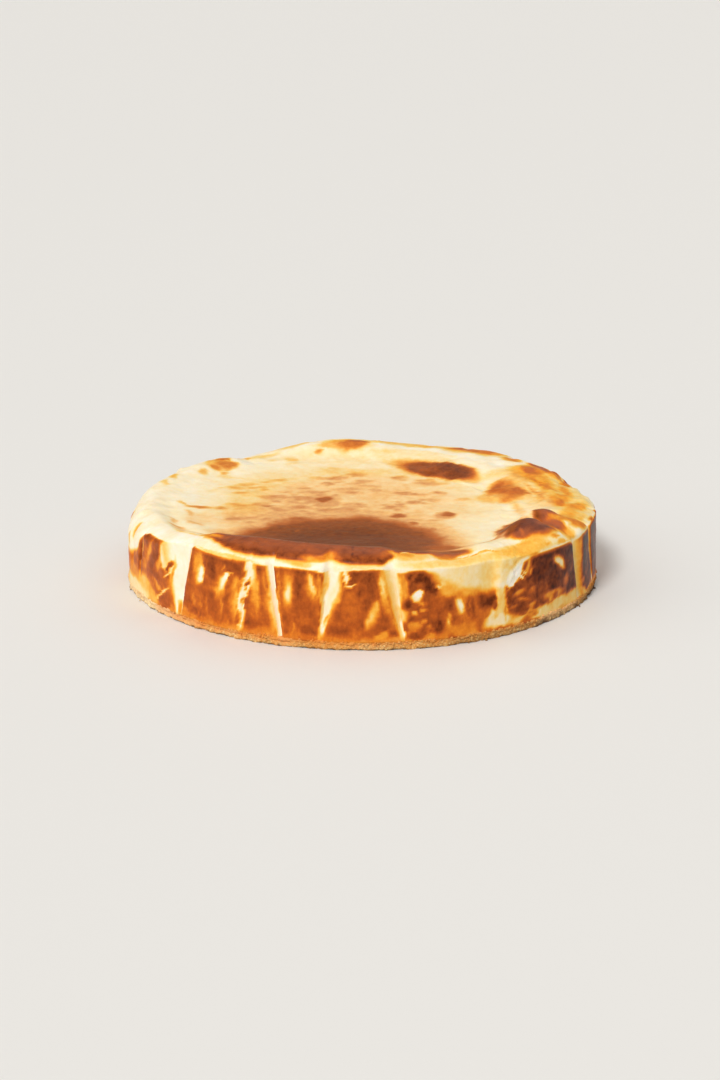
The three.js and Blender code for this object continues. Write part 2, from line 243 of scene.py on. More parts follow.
# Marks on the wall, each painted over the ones before it: angle, height up the surface, half
# width, half height, turn from upright, level and softness.
WALL_MARKS = [
    # left of the first big step
    (-172, 34, 24, 9, 0, 0.05, 8), (-163, 16, 9, 6, 0, 0.48, 6), (-161.5, 24, 4, 4, -20, 0.66, 4),
    (-162, 7, 24, 4.4, 0, 0.14, 4), (-156, 13, 9, 4.6, 0, 0.28, 5), (-151, 8, 6, 4, -20, 0.34, 4),
    (-157.2, 28, 0.9, 10, -22, 0.82, 0.9), (-156.6, 27, 0.7, 9, -22, 0.3, 0.8),
    (-155.8, 27, 1, 10, -22, 0.74, 1), (-152.6, 39.6, 4.5, 3, -25, 0.8, 1.6),
    (-148.4, 41.6, 9, 1.3, 0, 0.8, 1), (-151.6, 33, 1.8, 8, -28, 0.4, 2.4),
    (-154, 24, 1.6, 5, -28, 0.5, 2), (-148.9, 31, 2.6, 9.5, -30, 0.81, 2),
    (-146.4, 32, 1.6, 9, -26, 0.38, 2.4), (-149, 21, 5, 2.6, -25, 0.76, 2.4),
    (-148, 16, 5, 1.6, -40, 0.42, 2), (-145.2, 9.5, 5.5, 4.8, 0, 0.72, 1.6),
    (-146, 12.4, 9.5, 0.7, 33, 0.1, 1), (-150, 6.6, 3, 2.4, 0, 0.3, 2),
    # the big step and its scar
    (-143.6, 35, 5.6, 9, -10, 0.05, 2.4), (-141, 35, 5, 9, 0, 0.03, 3), (-140.2, 14, 2.2, 8, 8, 0.4, 2),
    # first panel
    (-134.2, 36, 0.8, 8, -10, 0.8, 1), (-131.9, 35, 3.4, 8.5, -10, 0.44, 3),
    (-131.5, 30.5, 2.4, 5.6, -18, 0.24, 2), (-131, 31, 1.5, 4.6, -20, 0.02, 1.6),
    (-127.7, 37.5, 3, 8.5, -5, 0.81, 2), (-125.6, 26.5, 3, 7, -24, 0.42, 3),
    (-124.8, 29.2, 1.6, 4.6, -30, 0.06, 1.8), (-123.6, 33.2, 1.2, 2.6, -35, 0.04, 0.8),
    (-121.4, 38.5, 5, 3.6, 0, 0.8, 2), (-124.2, 37.4, 0.6, 2.2, -25, 0.5, 0.7),
    (-122.4, 35.4, 1.4, 0.8, 0, 0.36, 0.8), (-120.6, 32.4, 1.4, 2, 0, 0.44, 1.2),
    (-122, 43.2, 5.5, 0.9, 0, 0.48, 1), (-125.4, 16, 1.1, 7, -12, 0.5, 1.8),
    (-121.9, 20, 1.8, 8, -10, 0.5, 2), (-122.6, 26, 1.2, 2.6, -30, 0.56, 1.2),
    (-133.8, 16, 1.2, 3.4, 12, 0.52, 1.6), (-129.8, 15, 0.7, 4.6, 0, 0.52, 1.2),
    (-131.6, 14, 1.1, 1.6, 0, 0.54, 1), (-128.3, 20, 2.4, 4, -15, 0.76, 3),
    (-137.4, 8.6, 2.4, 3.2, 0, 0.5, 2), (-118, 11, 4, 4, 0, 0.78, 3),
    # beside the torn fold
    (-116.1, 29, 2.4, 13, 0, 0.38, 3), (-117.1, 36, 2.2, 7, 0, 0.2, 1.6),
    (-114.3, 36, 1.2, 8, 0, 0.72, 1.2), (-113.6, 24, 1, 16, 2, 0.5, 1.4),
    # second panel
    (-110.5, 36, 0.9, 8, 4, 0.76, 0.9), (-109.8, 26, 0.7, 17, 4, 0.48, 1.1),
    (-107.7, 31, 3, 10, 0, 0.46, 3), (-107.6, 29.5, 1.5, 4.6, 0, 0.12, 2.2),
    (-105.2, 37.5, 2.2, 6, 0, 0.8, 1.8), (-102.2, 34.5, 2.8, 8, 8, 0.48, 2.6),
    (-102.1, 35.5, 1, 5.4, 14, 0.16, 1.4), (-100.4, 36, 1, 6, 0, 0.5, 1),
    (-106.7, 10.5, 0.7, 4.2, 0, 0.48, 1.2), (-103.8, 10, 2, 3, 0, 0.8, 2),
    # third panel
    (-90.8, 40, 6, 3.6, 0, 0.82, 1.8), (-91.2, 35, 1.2, 6, 0, 0.8, 1.6),
    (-88.4, 36, 3, 7, 0, 0.81, 2.6), (-93, 37.2, 2, 2.2, 0, 0.82, 1), (-93.4, 26, 3.4, 5, 0, 0.62, 3),
    (-88.2, 19.5, 3.2, 7, -18, 0.46, 2.6), (-88.8, 17.6, 1.5, 4.4, -18, 0.2, 2),
    (-87.4, 23, 1.2, 3.6, -10, 0.28, 1.6), (-86.2, 8, 4.4, 1.8, 25, 0.4, 1.8),
    (-84.6, 10, 3, 1.2, 35, 0.44, 1.2), (-86.2, 13, 3.2, 2, 20, 0.74, 1.4),
    (-83.4, 9.6, 1.6, 2.6, 30, 0.76, 1.2),
    # fourth panel
    (-81.3, 34, 2.4, 8, 8, 0.42, 2), (-78, 39, 4.9, 3.8, 0, 0.88, 2.2),
    (-78.8, 38.6, 0.6, 3.4, -35, 0.74, 0.8), (-75.2, 33.4, 2.6, 5.4, 30, 0.9, 1.8),
    (-71, 35.5, 3.4, 3, 35, 0.4, 3), (-73.2, 38.6, 3.2, 4.4, 10, 0.45, 3.4),
    (-78, 28.6, 3.6, 2.8, 15, 0.1, 1.6), (-77.6, 29.4, 2.4, 1.8, 15, 0, 1),
    (-72.8, 32.8, 3, 1.2, -15, 0.08, 1.2), (-71.6, 34.2, 2, 0.8, -30, 0.16, 1),
    (-80.2, 25.4, 1.4, 2.6, 0, 0.9, 1.2), (-80.6, 18, 1.2, 4, 0, 0.36, 1.6),
    (-78.8, 19.8, 1.8, 1.6, 0, 0.3, 1.2), (-76.8, 21.8, 1.6, 1.2, 0, 0.42, 1),
    (-77.2, 25.2, 2.2, 1.2, -30, 0.44, 1.2), (-73.4, 22, 5, 7, 20, 0.72, 3),
    (-72.8, 12, 2.8, 4, 0, 0.84, 2), (-70.6, 24, 2, 5, 20, 0.82, 2),
    (-78.2, 12.6, 3.4, 2.2, 0, 0.44, 2.2), (-76.2, 15.6, 1.6, 1.2, 0, 0.4, 1.2),
    (-78.4, 7, 4.6, 2.2, 0, 0.8, 1.6), (-69.9, 14.4, 0.8, 3.6, 6, 0.22, 1.2),
    # under the wide pale hollow
    (-67.4, 8.6, 9, 3.4, 0, 0.5, 3), (-105, 6, 8, 2.6, 0, 0.6, 3),
    (-67.7, 21.4, 2.2, 4.6, 24, 0.26, 1.6), (-67.4, 21, 1.3, 3.6, 26, 0.06, 1.2),
    (-65.9, 15, 2, 4.6, 10, 0.58, 2), (-65.6, 21, 1, 5, 0, 0.84, 1.4),
    (-64.2, 18, 1.2, 2.2, 0, 0.44, 1.4), (-61.2, 23, 8, 7, 0, 0.66, 4),
    (-60.6, 23.2, 5.8, 5.6, 0, 0.92, 4), (-64.4, 20, 1.1, 5.4, 6, 0.84, 1.6),
    (-63, 12, 2.4, 4, 20, 0.66, 2), (-59.4, 12, 2.4, 4.6, -20, 0.16, 2.2),
    (-57.3, 13.6, 3.4, 3.2, 0, 0.26, 2.4), (-57.2, 24, 1.7, 6, 4, 0.18, 1.4),
    (-56.2, 20, 1.4, 6, 6, 0.34, 1.6), (-58, 5.2, 7, 1.3, 0, 0.56, 1.4), (-61, 9, 3, 2, 20, 0.46, 2),
    # the dark side
    (-54.4, 18.4, 1.4, 3.4, 0, 0.4, 1.6), (-40.5, 30, 18, 9, 0, 0.915, 3.4),
    (-46.8, 37.6, 4, 2.8, 0, 0.91, 2), (-49.6, 34, 1.6, 3.4, 0, 0.5, 2),
    (-48.2, 32.4, 1, 2.4, -30, 0.44, 1.4), (-37.9, 32.2, 6.6, 2.3, -36, 0.38, 1.8),
    (-37.8, 32, 5.2, 1.5, -36, 0.12, 1.2), (-34.4, 20.6, 2.8, 3, 0, 0.62, 3),
    (-42.4, 21, 1.6, 2.4, 0, 0.56, 2), (-44, 22, 5, 4, 0, 0.84, 4), (-47, 12, 3, 1.6, 0, 0.7, 2),
    (-40, 17, 4, 1.6, 0, 0.8, 2), (-47, 5.5, 24, 3.6, 0, 0.3, 4), (-48, 12.6, 8, 2.4, -10, 0.46, 2.4),
    (-39, 15.4, 9, 2.6, 0, 0.44, 2.6), (-49.5, 6.4, 8, 2.6, 0, 0.22, 2.4),
    (-43.2, 7.4, 9, 3.6, 0, 0.19, 3), (-36.6, 8.4, 9, 4.4, 0, 0.22, 3.4), (-30, 8, 10, 4, 0, 0.25, 3.4),
    (-23, 6, 9, 3.2, 0, 0.26, 3), (-40.4, 12.4, 1.8, 1.2, 0, 0.38, 1.6),
    (-48, 4.9, 7, 1.2, 0, 0.62, 1.3), (-48.8, 6.4, 3.4, 2, 20, 0.62, 2.2),
    (-35, 5.2, 3, 0.8, 0, 0.36, 1.2), (-26.9, 28, 2.4, 11, 0, 0.36, 2.4),
    (-23.6, 28, 4, 10, 0, 0.98, 3), (-24.5, 7, 4, 2.6, 0, 0.34, 2.4), (-17.5, 27, 7, 11, 0, 0.96, 3),
    (-23.8, 14, 1.6, 2, 0, 0.6, 1.6), (-10, 26, 7, 12, 0, 0.92, 4), (-12, 5.4, 8, 2, 0, 0.46, 2),
    (-20.5, 12, 5, 5, 0, 0.92, 2.4), (-38.4, 14.2, 2.2, 2.4, 0, 0.74, 1.8),
    (-61.2, 24.8, 2.6, 3, 0, 0.95, 2.4), (-46, 13, 3, 2, 0, 0.82, 1.6),
    (-46.2, 8.4, 2.4, 1.4, 0, 0.58, 1.8),
]

# Marks painted over the folds' pale grooves, in the same terms. Some are painted shade:
# golden on the shaded left flanks of the folds at -112, -97 and -84.6, and along the
# shadowed groove left of the tear at -57.
LATE_MARKS = [
    # the first is painted shade along the groove left of the tear
    (-57.1, 21, 2.6, 11, 2, 0.25, 2), (-57, 9.8, 8.8, 3.4, 0, 0.13, 2.4),
    (-56.4, 4.9, 9, 1, 0, 0.6, 1.2), (-50.9, 20.6, 10.4, 9.4, 0, 0.82, 1.6),
    # the first is a golden line of painted shade along that groove's right side
    (-55.5, 19, 0.6, 8, 4, 0.46, 1), (-51.6, 22.6, 3.4, 1.5, 12, 0.46, 1.8),
    (-50.2, 18.4, 3.6, 0.9, -8, 0.48, 1.4), (-53, 15, 2.2, 0.8, 0, 0.52, 1.2),
    (-47.2, 21.7, 2.2, 1.4, 0, 0.58, 2), (-47.6, 14.6, 3, 1.2, 12, 0.46, 1.6),
    (-117.2, 38.6, 2.8, 5.6, 0, 0.08, 1.8), (-115.7, 37, 1, 6, 0, 0.28, 1.6),
    (-118, 34.6, 1.8, 2.6, -20, 0.04, 1.2), (-119.8, 23, 1.3, 10, -9, 0.06, 1.4),
    (-121.2, 20, 1.1, 9, -9, 0.34, 1.6), (-110.9, 35, 0.7, 9, 2, 0.76, 0.7),
    (-110, 24, 0.5, 18, 3, 0.46, 0.8), (-142.6, 30, 1, 3.8, -46, 0.78, 0.9),
    (-17, 5.4, 12, 1.6, 0, 0.4, 1.8), (-143.6, 27.4, 1.2, 1, 0, 0.84, 0.8),
    (-144, 21.6, 1.1, 5.2, -38, 0.7, 1.2), (-141.6, 27, 0.7, 6.5, -12, 0.42, 1.2),
    (-143.4, 24.6, 0.5, 4.4, -50, 0.1, 0.7), (-142, 21, 0.9, 5, -8, 0.46, 1.4),
    (-139.4, 8, 1.5, 4, 10, 0.46, 1.6), (-118.2, 31.2, 0.9, 2.2, -52, 0.8, 0.8),
    (-118.9, 28.2, 0.6, 1.4, -30, 0.76, 0.7), (-119.2, 21, 0.7, 2, -20, 0.44, 0.8),
    (-117.6, 34, 0.5, 1.6, -60, 0.4, 0.6), (-94.2, 40, 1.7, 4, 0, 0.1, 1.2),
    (-94.4, 34.6, 1.5, 1.1, 0, 0.3, 0.8), (-93.2, 34.4, 2.2, 0.5, -12, 0.08, 0.6),
    (-92.4, 35.4, 1.2, 0.5, 20, 0.2, 0.6), (-93.3, 33.4, 1.6, 0.5, 15, 0.34, 0.6),
    (-96.4, 27, 1.4, 6, -24, 0.36, 2.2), (-98.6, 17, 0.9, 4, -20, 0.4, 1.6),
    # the first is painted shade on the left flank of the fold at -97
    (-99.2, 34, 1.3, 8, -6, 0.26, 1.6), (-100.2, 8, 1, 3.4, 0, 0.36, 1.4),
    (-53.6, 36.5, 6.4, 8, 0, 0.02, 2), (-54.4, 29.6, 3.4, 2.8, -10, 0.04, 1.2),
    (-56.4, 33, 1.6, 7, 0, 0.14, 2), (-49.2, 37, 1.6, 4, 0, 0.34, 2),
    (-51.4, 31, 2.6, 0.8, -40, 0.02, 0.7), (-50.4, 32.6, 1.6, 0.7, -50, 0.12, 0.7),
    (-52, 39.6, 1, 0.4, -40, 0.4, 0.5), (-30.2, 38.4, 1.2, 1.4, 0, 0.1, 0.8),
    # the first is painted shade on the left flank of the fold at -84.6
    (-85.9, 34, 1.6, 8, 6, 0.19, 1.6), (-83, 36, 1.6, 9, 6, 0.13, 2), (-84.9, 24, 1, 6, 14, 0.34, 1.6),
    (-83, 14, 0.8, 5, 18, 0.4, 1.4), (-81.3, 18.5, 1.5, 3.2, 14, 0.22, 1.4),
    (-97, 30.5, 1.7, 7.5, -20, 0.1, 1.8), (-100.2, 31.5, 0.9, 4, -14, 0.42, 1.4),
    (-145.3, 28.8, 1.4, 2.4, -30, 0.16, 1.4), (-136.8, 18.5, 1.4, 6.5, 6, 0.74, 1),
    # both are painted shade on the left flank of the fold at -112
    (-112, 22, 1, 9, 7, 0.2, 1.2), (-111.4, 10.5, 1, 4, 7, 0.3, 1.2),
    (-121.4, 29.5, 1.2, 3.4, -10, 0.36, 1.6), (-58.6, 18.6, 1.4, 2.6, 0, 0.82, 1.4),
    (-58.3, 12.9, 1.4, 2, 0, 0.28, 1.4),
]

# Marks on the shoulder, crest and outer rim, in the same terms.
SHOULDER_MARKS = [
    (-179, 35, 1.8, 2.6, 0, 0.6, 1.6), (-163.6, 37, 2, 4.5, -14, 0.36, 2),
    (-166.8, 31, 2, 4, -14, 0.3, 2), (-122, 44.6, 13, 0.9, -4, 0.28, 1.4),
    (-129, 45.6, 8, 0.6, -8, 0.26, 1), (-105, 45.6, 7, 1.5, 0, 0.3, 2),
    (-100.6, 49.8, 9, 2.3, 0, 0.39, 2.2), (-99.8, 51.4, 5.4, 1.4, 0, 0.52, 1.8),
    # the first is painted shade in a small crease of the roll, and the second a painted highlight near
    # the roll's right end
    (-93, 56, 0.4, 4.2, 5, 0.95, 0.5), (-85.3, 52.8, 3.4, 2.5, 0, 0.64, 3),
    (-91, 44.8, 9, 0.9, 0, 0.2, 1.4), (-79, 53.4, 11, 4.2, 0, 0.28, 3),
    (-79.8, 54.8, 4.5, 2.6, 0, 0.42, 2.4), (-76.6, 59.4, 10, 2.6, -16, 0.84, 1.6),
    (-69.2, 54.4, 8, 3.8, 12, 0.58, 4), (-71.5, 57.4, 5.5, 3.4, 20, 0.7, 2.4),
    (-74, 46.4, 16, 3, 0, 0.23, 3), (-65, 38.5, 15, 7, 0, 0.165, 9), (-60.5, 34, 5, 7, 0, 0.2, 6),
    (-70.8, 30.5, 5, 4.2, 20, 0.35, 5), (-66.4, 28.2, 3.6, 2.4, 0, 0.38, 3.6),
    (-61, 45.5, 11, 2.6, 0, 0.21, 2.4), (-66, 47, 12, 3, 0, 0.25, 3), (-60, 49.6, 20, 0.5, -3, 0.5, 1),
    (-52, 46, 7, 3.6, 0, 0.26, 3), (-46.5, 49, 9, 3.6, 0, 0.38, 3.6),
    (-48.4, 50.4, 3, 1.2, -15, 0.54, 1.2), (-47.6, 42.4, 4, 1.4, 0, 0.46, 1.6),
    (-41.6, 47.8, 3, 1.4, -20, 0.16, 1.6), (-42.4, 45.6, 2, 0.8, 0, 0.5, 1),
    (-38, 47.8, 3.4, 1.4, -15, 0.44, 1.6), (-36.6, 43.4, 7, 1.4, 0, 0.34, 1.6),
    (-33, 45.6, 4.4, 2, 15, 0.06, 1.4), (-38, 60.4, 21.5, 10.4, 0, 0.54, 5),
    (-38, 61.8, 20, 9, 0, 0.89, 4.2), (-45, 57.6, 5.5, 3.2, 0, 0.8, 3.4),
    (-27.4, 62.5, 6.4, 7, 0, 0.6, 4), (-28.6, 62, 5, 7, 0, 0.84, 3),
    (-45, 58.4, 0.8, 3.2, -35, 0.66, 0.8), (-15, 43, 4, 1.2, 0, 0.66, 1.6),
    (-19, 47.8, 15, 2.2, 0, 0.4, 2.4), (-22, 48.6, 10, 0.7, -4, 0.52, 1.2),
    (-20, 55, 18, 3.6, 0, 0.3, 3), (-17, 58, 5, 2, 0, 0.34, 2), (-4, 47.6, 7, 3, 0, 0.42, 3),
    (-146, 54.6, 7, 0.8, 0, 0.3, 1.2), (-136, 56.4, 7, 1.1, -16, 0.46, 1.6),
    (-140, 55.2, 4, 1.2, 0, 0.3, 1.6), (-53, 43, 2.2, 1.6, 0, 0.14, 1.4),
    (-34.6, 44.4, 2.4, 1.6, 0, 0.12, 1.4),
]

# Golden and tan clouds inside the crest: x, y, half length, half width, turn, level and
# softness.
CLOUDS = [
    (-14, 6, 76, 60, 0, 0.21, 44), (-30, -26, 60, 24, -6, 0.3, 26), (-14, 22, 40, 22, 0, 0.24, 20),
    (-98, 6, 16, 56, 0, 0.07, 30), (10, 88, 60, 12, 0, 0.14, 12), (-2, 63, 30, 8, -8, 0.21, 10),
    (-64, -60, 18, 9, -30, 0.27, 10),
]

# The dark patch behind the front ridge, in the same terms.
DARK_PATCH = [
    (-96, -62, 4, 14, 20, 0.26, 6), (-13, -84, 67, 67, 0, 0.33, 20), (-14.8, -84, 58, 61, 0, 0.52, 10),
    (-14.8, -84, 53.5, 57, 0, 0.74, 9), (43, -84, 10, 3.6, -18, 0.6, 5),
    (-15, -80, 39, 37, 0, 0.84, 30), (-36, -50, 1, 2, 0, 0.68, 1),
]

# Smaller marks inside the crest, in the same terms.
TOP_MARKS = [
    (37, -97, 9, 9, 0, 0.46, 6), (-79, -68, 6, 3, -20, 0.58, 3), (-74, -64, 3.6, 2, 0, 0.7, 2),
    # the first two are painted shade along a soft wrinkle near the left rim
    (-99, -3, 4.6, 1.2, -60, 0.34, 1.8), (-91, -8.6, 7, 2.8, -4, 0.44, 3), (-88, -30, 8, 10, 0, 0.2, 8),
    (-99, -47, 6, 1.7, -52, 0.33, 2.2), (-91, -39, 6, 1.6, -36, 0.32, 2.4),
    (-102, -36, 5, 1.3, -66, 0.28, 2), (-95, -21, 5, 1.4, -60, 0.3, 2),
    (-87, -62, 6, 1.8, -48, 0.32, 2.4),
    # the brown spots round the middle
    (-21.5, 4, 8, 8, 0, 0.37, 7), (-22, 11, 4.2, 4.8, 0, 0.66, 3.4), (19, -21, 3.6, 3.4, 0, 0.58, 3.4),
    (44, -22, 6, 6, 0, 0.38, 4), (45, -20, 3.4, 4, 0, 0.58, 3), (27, -35, 2.8, 2.4, 0, 0.54, 2.2),
    (36, -48, 2.2, 2, 0, 0.46, 1.8), (-53, -4, 3, 2.2, 0, 0.48, 2.4), (-58, 33, 3.4, 1.8, 0, 0.34, 2.4),
    (-17, 71, 3, 1.6, 0, 0.26, 2), (-12, 56, 3, 1.6, 0, 0.28, 2), (-8, 30, 6, 3, 0, 0.36, 4),
    # two blisters
    (41, 63.5, 31, 12, -40, 0.36, 7), (42, 63, 27, 10.5, -40, 0.54, 5),
    (43.5, 62, 23, 10.6, -41, 0.8, 3.4), (50, 57, 12, 6, -41, 0.86, 7), (36, 66, 8, 4, -40, 0.74, 5),
    (83, 20, 14, 20, 10, 0.36, 6), (82, 19, 11, 18, 10, 0.52, 5), (86, 12, 6, 9, 10, 0.56, 4),
    (79.5, 18, 8.6, 16, 10, 0.64, 4), (77, 10, 5, 9, 25, 0.72, 5), (71, 9, 7, 9, 10, 0.31, 7),
    (77, 48, 9, 6, 30, 0.2, 6), (47, 75, 10, 4, -30, 0.18, 5),
    # the inner face of the right-hand bumps
    (79, -64, 10, 21, -6, 0.5, 4.4), (79, -64, 8, 19, -6, 0.78, 3.4), (95, -45, 6, 10, 0, 0.56, 3),
    (94.5, -46, 4.6, 8, 0, 0.84, 3), (94, -34, 2.8, 6.5, 0, 0.6, 3),
]

# Marks on the rim, both inside and outside its crest, in the same terms.
RIM_MARKS = [
    # the golden right-hand side
    (104, 12, 20, 54, 10, 0.22, 16), (94, 44, 9, 19, 18, 0.38, 8), (97, 50, 4.6, 13, 14, 0.53, 4),
    (95, 47, 1.8, 8, 24, 0.62, 2.4), (100.5, 30, 4.4, 8, 10, 0.47, 4), (110, -2, 3.6, 8, -5, 0.42, 4),
    (118, -16, 3.2, 8, -10, 0.42, 3), (86, 17, 15, 0.8, -64, 0.44, 1.6),
    (45, -103, 9, 4.2, 12, 0.72, 3.6), (96, 52, 2.4, 5, 0, 0.62, 3), (101, 24, 5, 17, 8, 0.36, 6),
    (102, 20, 2.6, 9, 16, 0.5, 4), (98, 2, 2, 12, -10, 0.36, 3), (106, -8, 5, 10, 0, 0.4, 5),
    (108, -12, 2.4, 6, 10, 0.56, 3), (113, -20, 3, 6, -14, 0.5, 3), (112, 14, 3, 12, 8, 0.46, 4),
    (103, -46, 9, 8, 0, 0.52, 5), (98, -46, 6, 6, 0, 0.78, 4), (110, -34, 4.4, 14, -10, 0.36, 5),
    (114, -50, 4, 7, -25, 0.5, 4), (85.5, 13, 4.6, 6.5, 10, 0.6, 4), (106, 56, 5, 14, 26, 0.62, 6),
    (101, 66, 4, 6, 30, 0.7, 4), (87, 66, 6, 6, 0, 0.1, 6), (97, 30, 1.2, 15, 14, 0.52, 2),
    (84, -14, 2.4, 18, 12, 0.28, 4), (114, 40, 3, 8, 15, 0.52, 4), (95, 8, 1, 16, 16, 0.44, 1.6),
    (99, -58, 3.4, 14, -30, 0.42, 4), (81, -95.5, 20, 5, 38, 0.32, 5), (60, -87, 6, 3, 30, 0.36, 4),
    (69, -76.5, 5, 2.6, 30, 0.4, 2.6),
    # the back
    (63, 96, 18, 9, -30, 0.42, 9), (70, 95, 11, 6, -32, 0.56, 6), (58, 102, 8, 4, -25, 0.62, 4),
    (86, 78, 6, 7, 40, 0.48, 5), (36, 108, 10, 4, -15, 0.34, 5), (18, 116, 20, 5, -8, 0.28, 6),
    (-9, 108, 13, 8, 0, 0.38, 7), (-7, 107, 7, 4.6, 0, 0.56, 4), (-2, 112, 6, 3, 0, 0.66, 3),
    (-26, 99, 2.2, 2, 0, 0.42, 2), (-21, 105, 6, 2.4, 0, 0.32, 3), (14, 98, 8, 2.6, 0, 0.2, 4),
    (-40, 112, 12, 4, 20, 0.26, 6), (-82, 72, 10, 9, 10, 0.32, 6), (-79, 73, 6, 5, 10, 0.5, 4),
    (-85, 66, 3, 2.4, 0, 0.46, 2.4), (-82, 82, 6, 3, 40, 0.56, 3), (-91, 57, 2.6, 3.6, 0, 0.34, 3),
    (-79, 59, 2.4, 2.6, 0, 0.34, 2.4), (-108, 46, 2.4, 6, 10, 0.34, 3), (-112, 34, 2, 7, 15, 0.26, 3),
    (-79, -85, 9, 2.2, -44, 0.44, 2.6), (107, -65, 9, 6, -30, 0.35, 4),
    (98, -60, 8, 3.2, -30, 0.76, 2.6), (102.4, -58.4, 4.4, 3.4, -30, 0.72, 3),
    (-58, 97, 9, 4, 32, 0.24, 5), (-70, 92, 5, 3, 40, 0.42, 4),
]


# ---- numbers and noise ----
def ease(share):
    """A smooth step: three times the square less twice the cube, held between 0 and 1."""
    held = np.clip(share, 0.0, 1.0)
    return held * held * (3.0 - 2.0 * held)


def turn(degrees):
    """The same angle between -180 and 180."""
    return (degrees + 180.0) % 360.0 - 180.0


def around(table, angle, column):
    """A table's column read round the cake: eased between neighbouring stations."""
    at, values = table["angle"], table[column]
    here = turn(angle)
    before = np.searchsorted(at, here, side="right") - 1
    after = (before + 1) % len(at)
    share = ease(((here - at[before]) % 360.0) / ((at[after] - at[before]) % 360.0))
    return values[before] * (1.0 - share) + values[after] * share


def towards(angle, at, start, width):
    """A share that eases in as an angle nears another, by the cosine between them."""
    return ease((np.cos(np.radians(angle - at)) - start) / width)


def blend(low, high, share):
    """A straight mix of two values."""
    return low + (high - low) * share


def noise(points, cell, seed):
    """Smooth noise between -1 and 1: a random value stands at each corner of a lattice of
    cells, and a point takes the eased mix of the eight corners round it."""
    scaled = points / np.asarray(cell, float)
    corner = np.floor(scaled)
    share = ease(scaled - corner)
    corner = corner.astype(np.int64)
    values = np.random.default_rng(seed).uniform(-1.0, 1.0, 4096)
    total = np.zeros(points.shape[:-1])
    for step in np.ndindex(2, 2, 2):
        key = corner + np.array(step)
        # Each corner's key mixes its three numbers by large primes.
        key = key[..., 0] * 73856093 ^ key[..., 1] * 19349663 ^ key[..., 2] * 83492791
        weight = np.prod(np.where(step, share, 1.0 - share), axis=-1)
        total += weight * values[key % len(values)]
    return total


def noises(points, *layers):
    """A sum of noises, each given by its weight, cell and seed."""
    return sum(weight * noise(points, cell, seed) for weight, cell, seed in layers)


# ---- the cake's shape ----
def fold_depth(angle, height):
    """How far the parchment's folds press in at a height on the wall. Each is a valley
    with an eased profile, from 0 at its edges to 1 at a bottom that lies nearer to its
    crisp side."""
    depth = np.zeros(np.broadcast(angle, height).shape)
    for fold in FOLDS:
        depth += fold.depth * ease(fold_side(fold, angle, height)[0]) * fold_fade(fold, height)
    return depth


def fold_fade(fold, height):
    """How much of a fold is left at a height: it eases in above where it dies out."""
    return ease((height - fold.dies) / (FOLD_FADE + fold.wide / 2.0))


def fold_side(fold, angle, height):
    """Where a point lies in a fold: the share of the way from its edge to its bottom, and
    the place across it, from -1 at one edge to 1 at the other."""
    share = height / FOLD_TOP
    half = np.degrees(blend(fold.narrow, fold.wide, share) / 2.0 / TIN_RADIUS)
    across = turn(angle - blend(fold.foot, fold.top, share)) / half
    bottom = FOLD_LEAN * fold.crisp
    side = np.where(across < bottom, (across + 1) / (bottom + 1), (1 - across) / (1 - bottom))
    return np.where(np.abs(across) < 1.0, side, 0.0), across


def blister_height(angle, radius):
    """The height that the blisters add to the top: a bell curve along and across each."""
    total = np.zeros(np.broadcast(angle, radius).shape)
    for at, out, along, across, rise in BLISTERS:
        long = out * np.radians(turn(angle - at)) / along
        wide = (radius - out) / across
        total += rise * np.exp(-long**2 - wide**2)
    return total


def foot_angles(top):
    """Where each seam of the grid meets the foot: the seams lean with the folds beside
    them, so a groove runs along the grid's lines and not across them."""
    tops, shifts = [], []
    for fold in FOLDS:
        half_top = np.degrees(fold.wide / 2.0 / TIN_RADIUS)
        half_foot = np.degrees(fold.narrow / 2.0 / TIN_RADIUS)
        for across in (-1.0, 0.0, 1.0):
            tops.append(fold.top + across * half_top)
            shifts.append(fold.foot - fold.top + across * (half_foot - half_top))
    return top + np.interp(turn(top), tops, shifts, period=360.0)


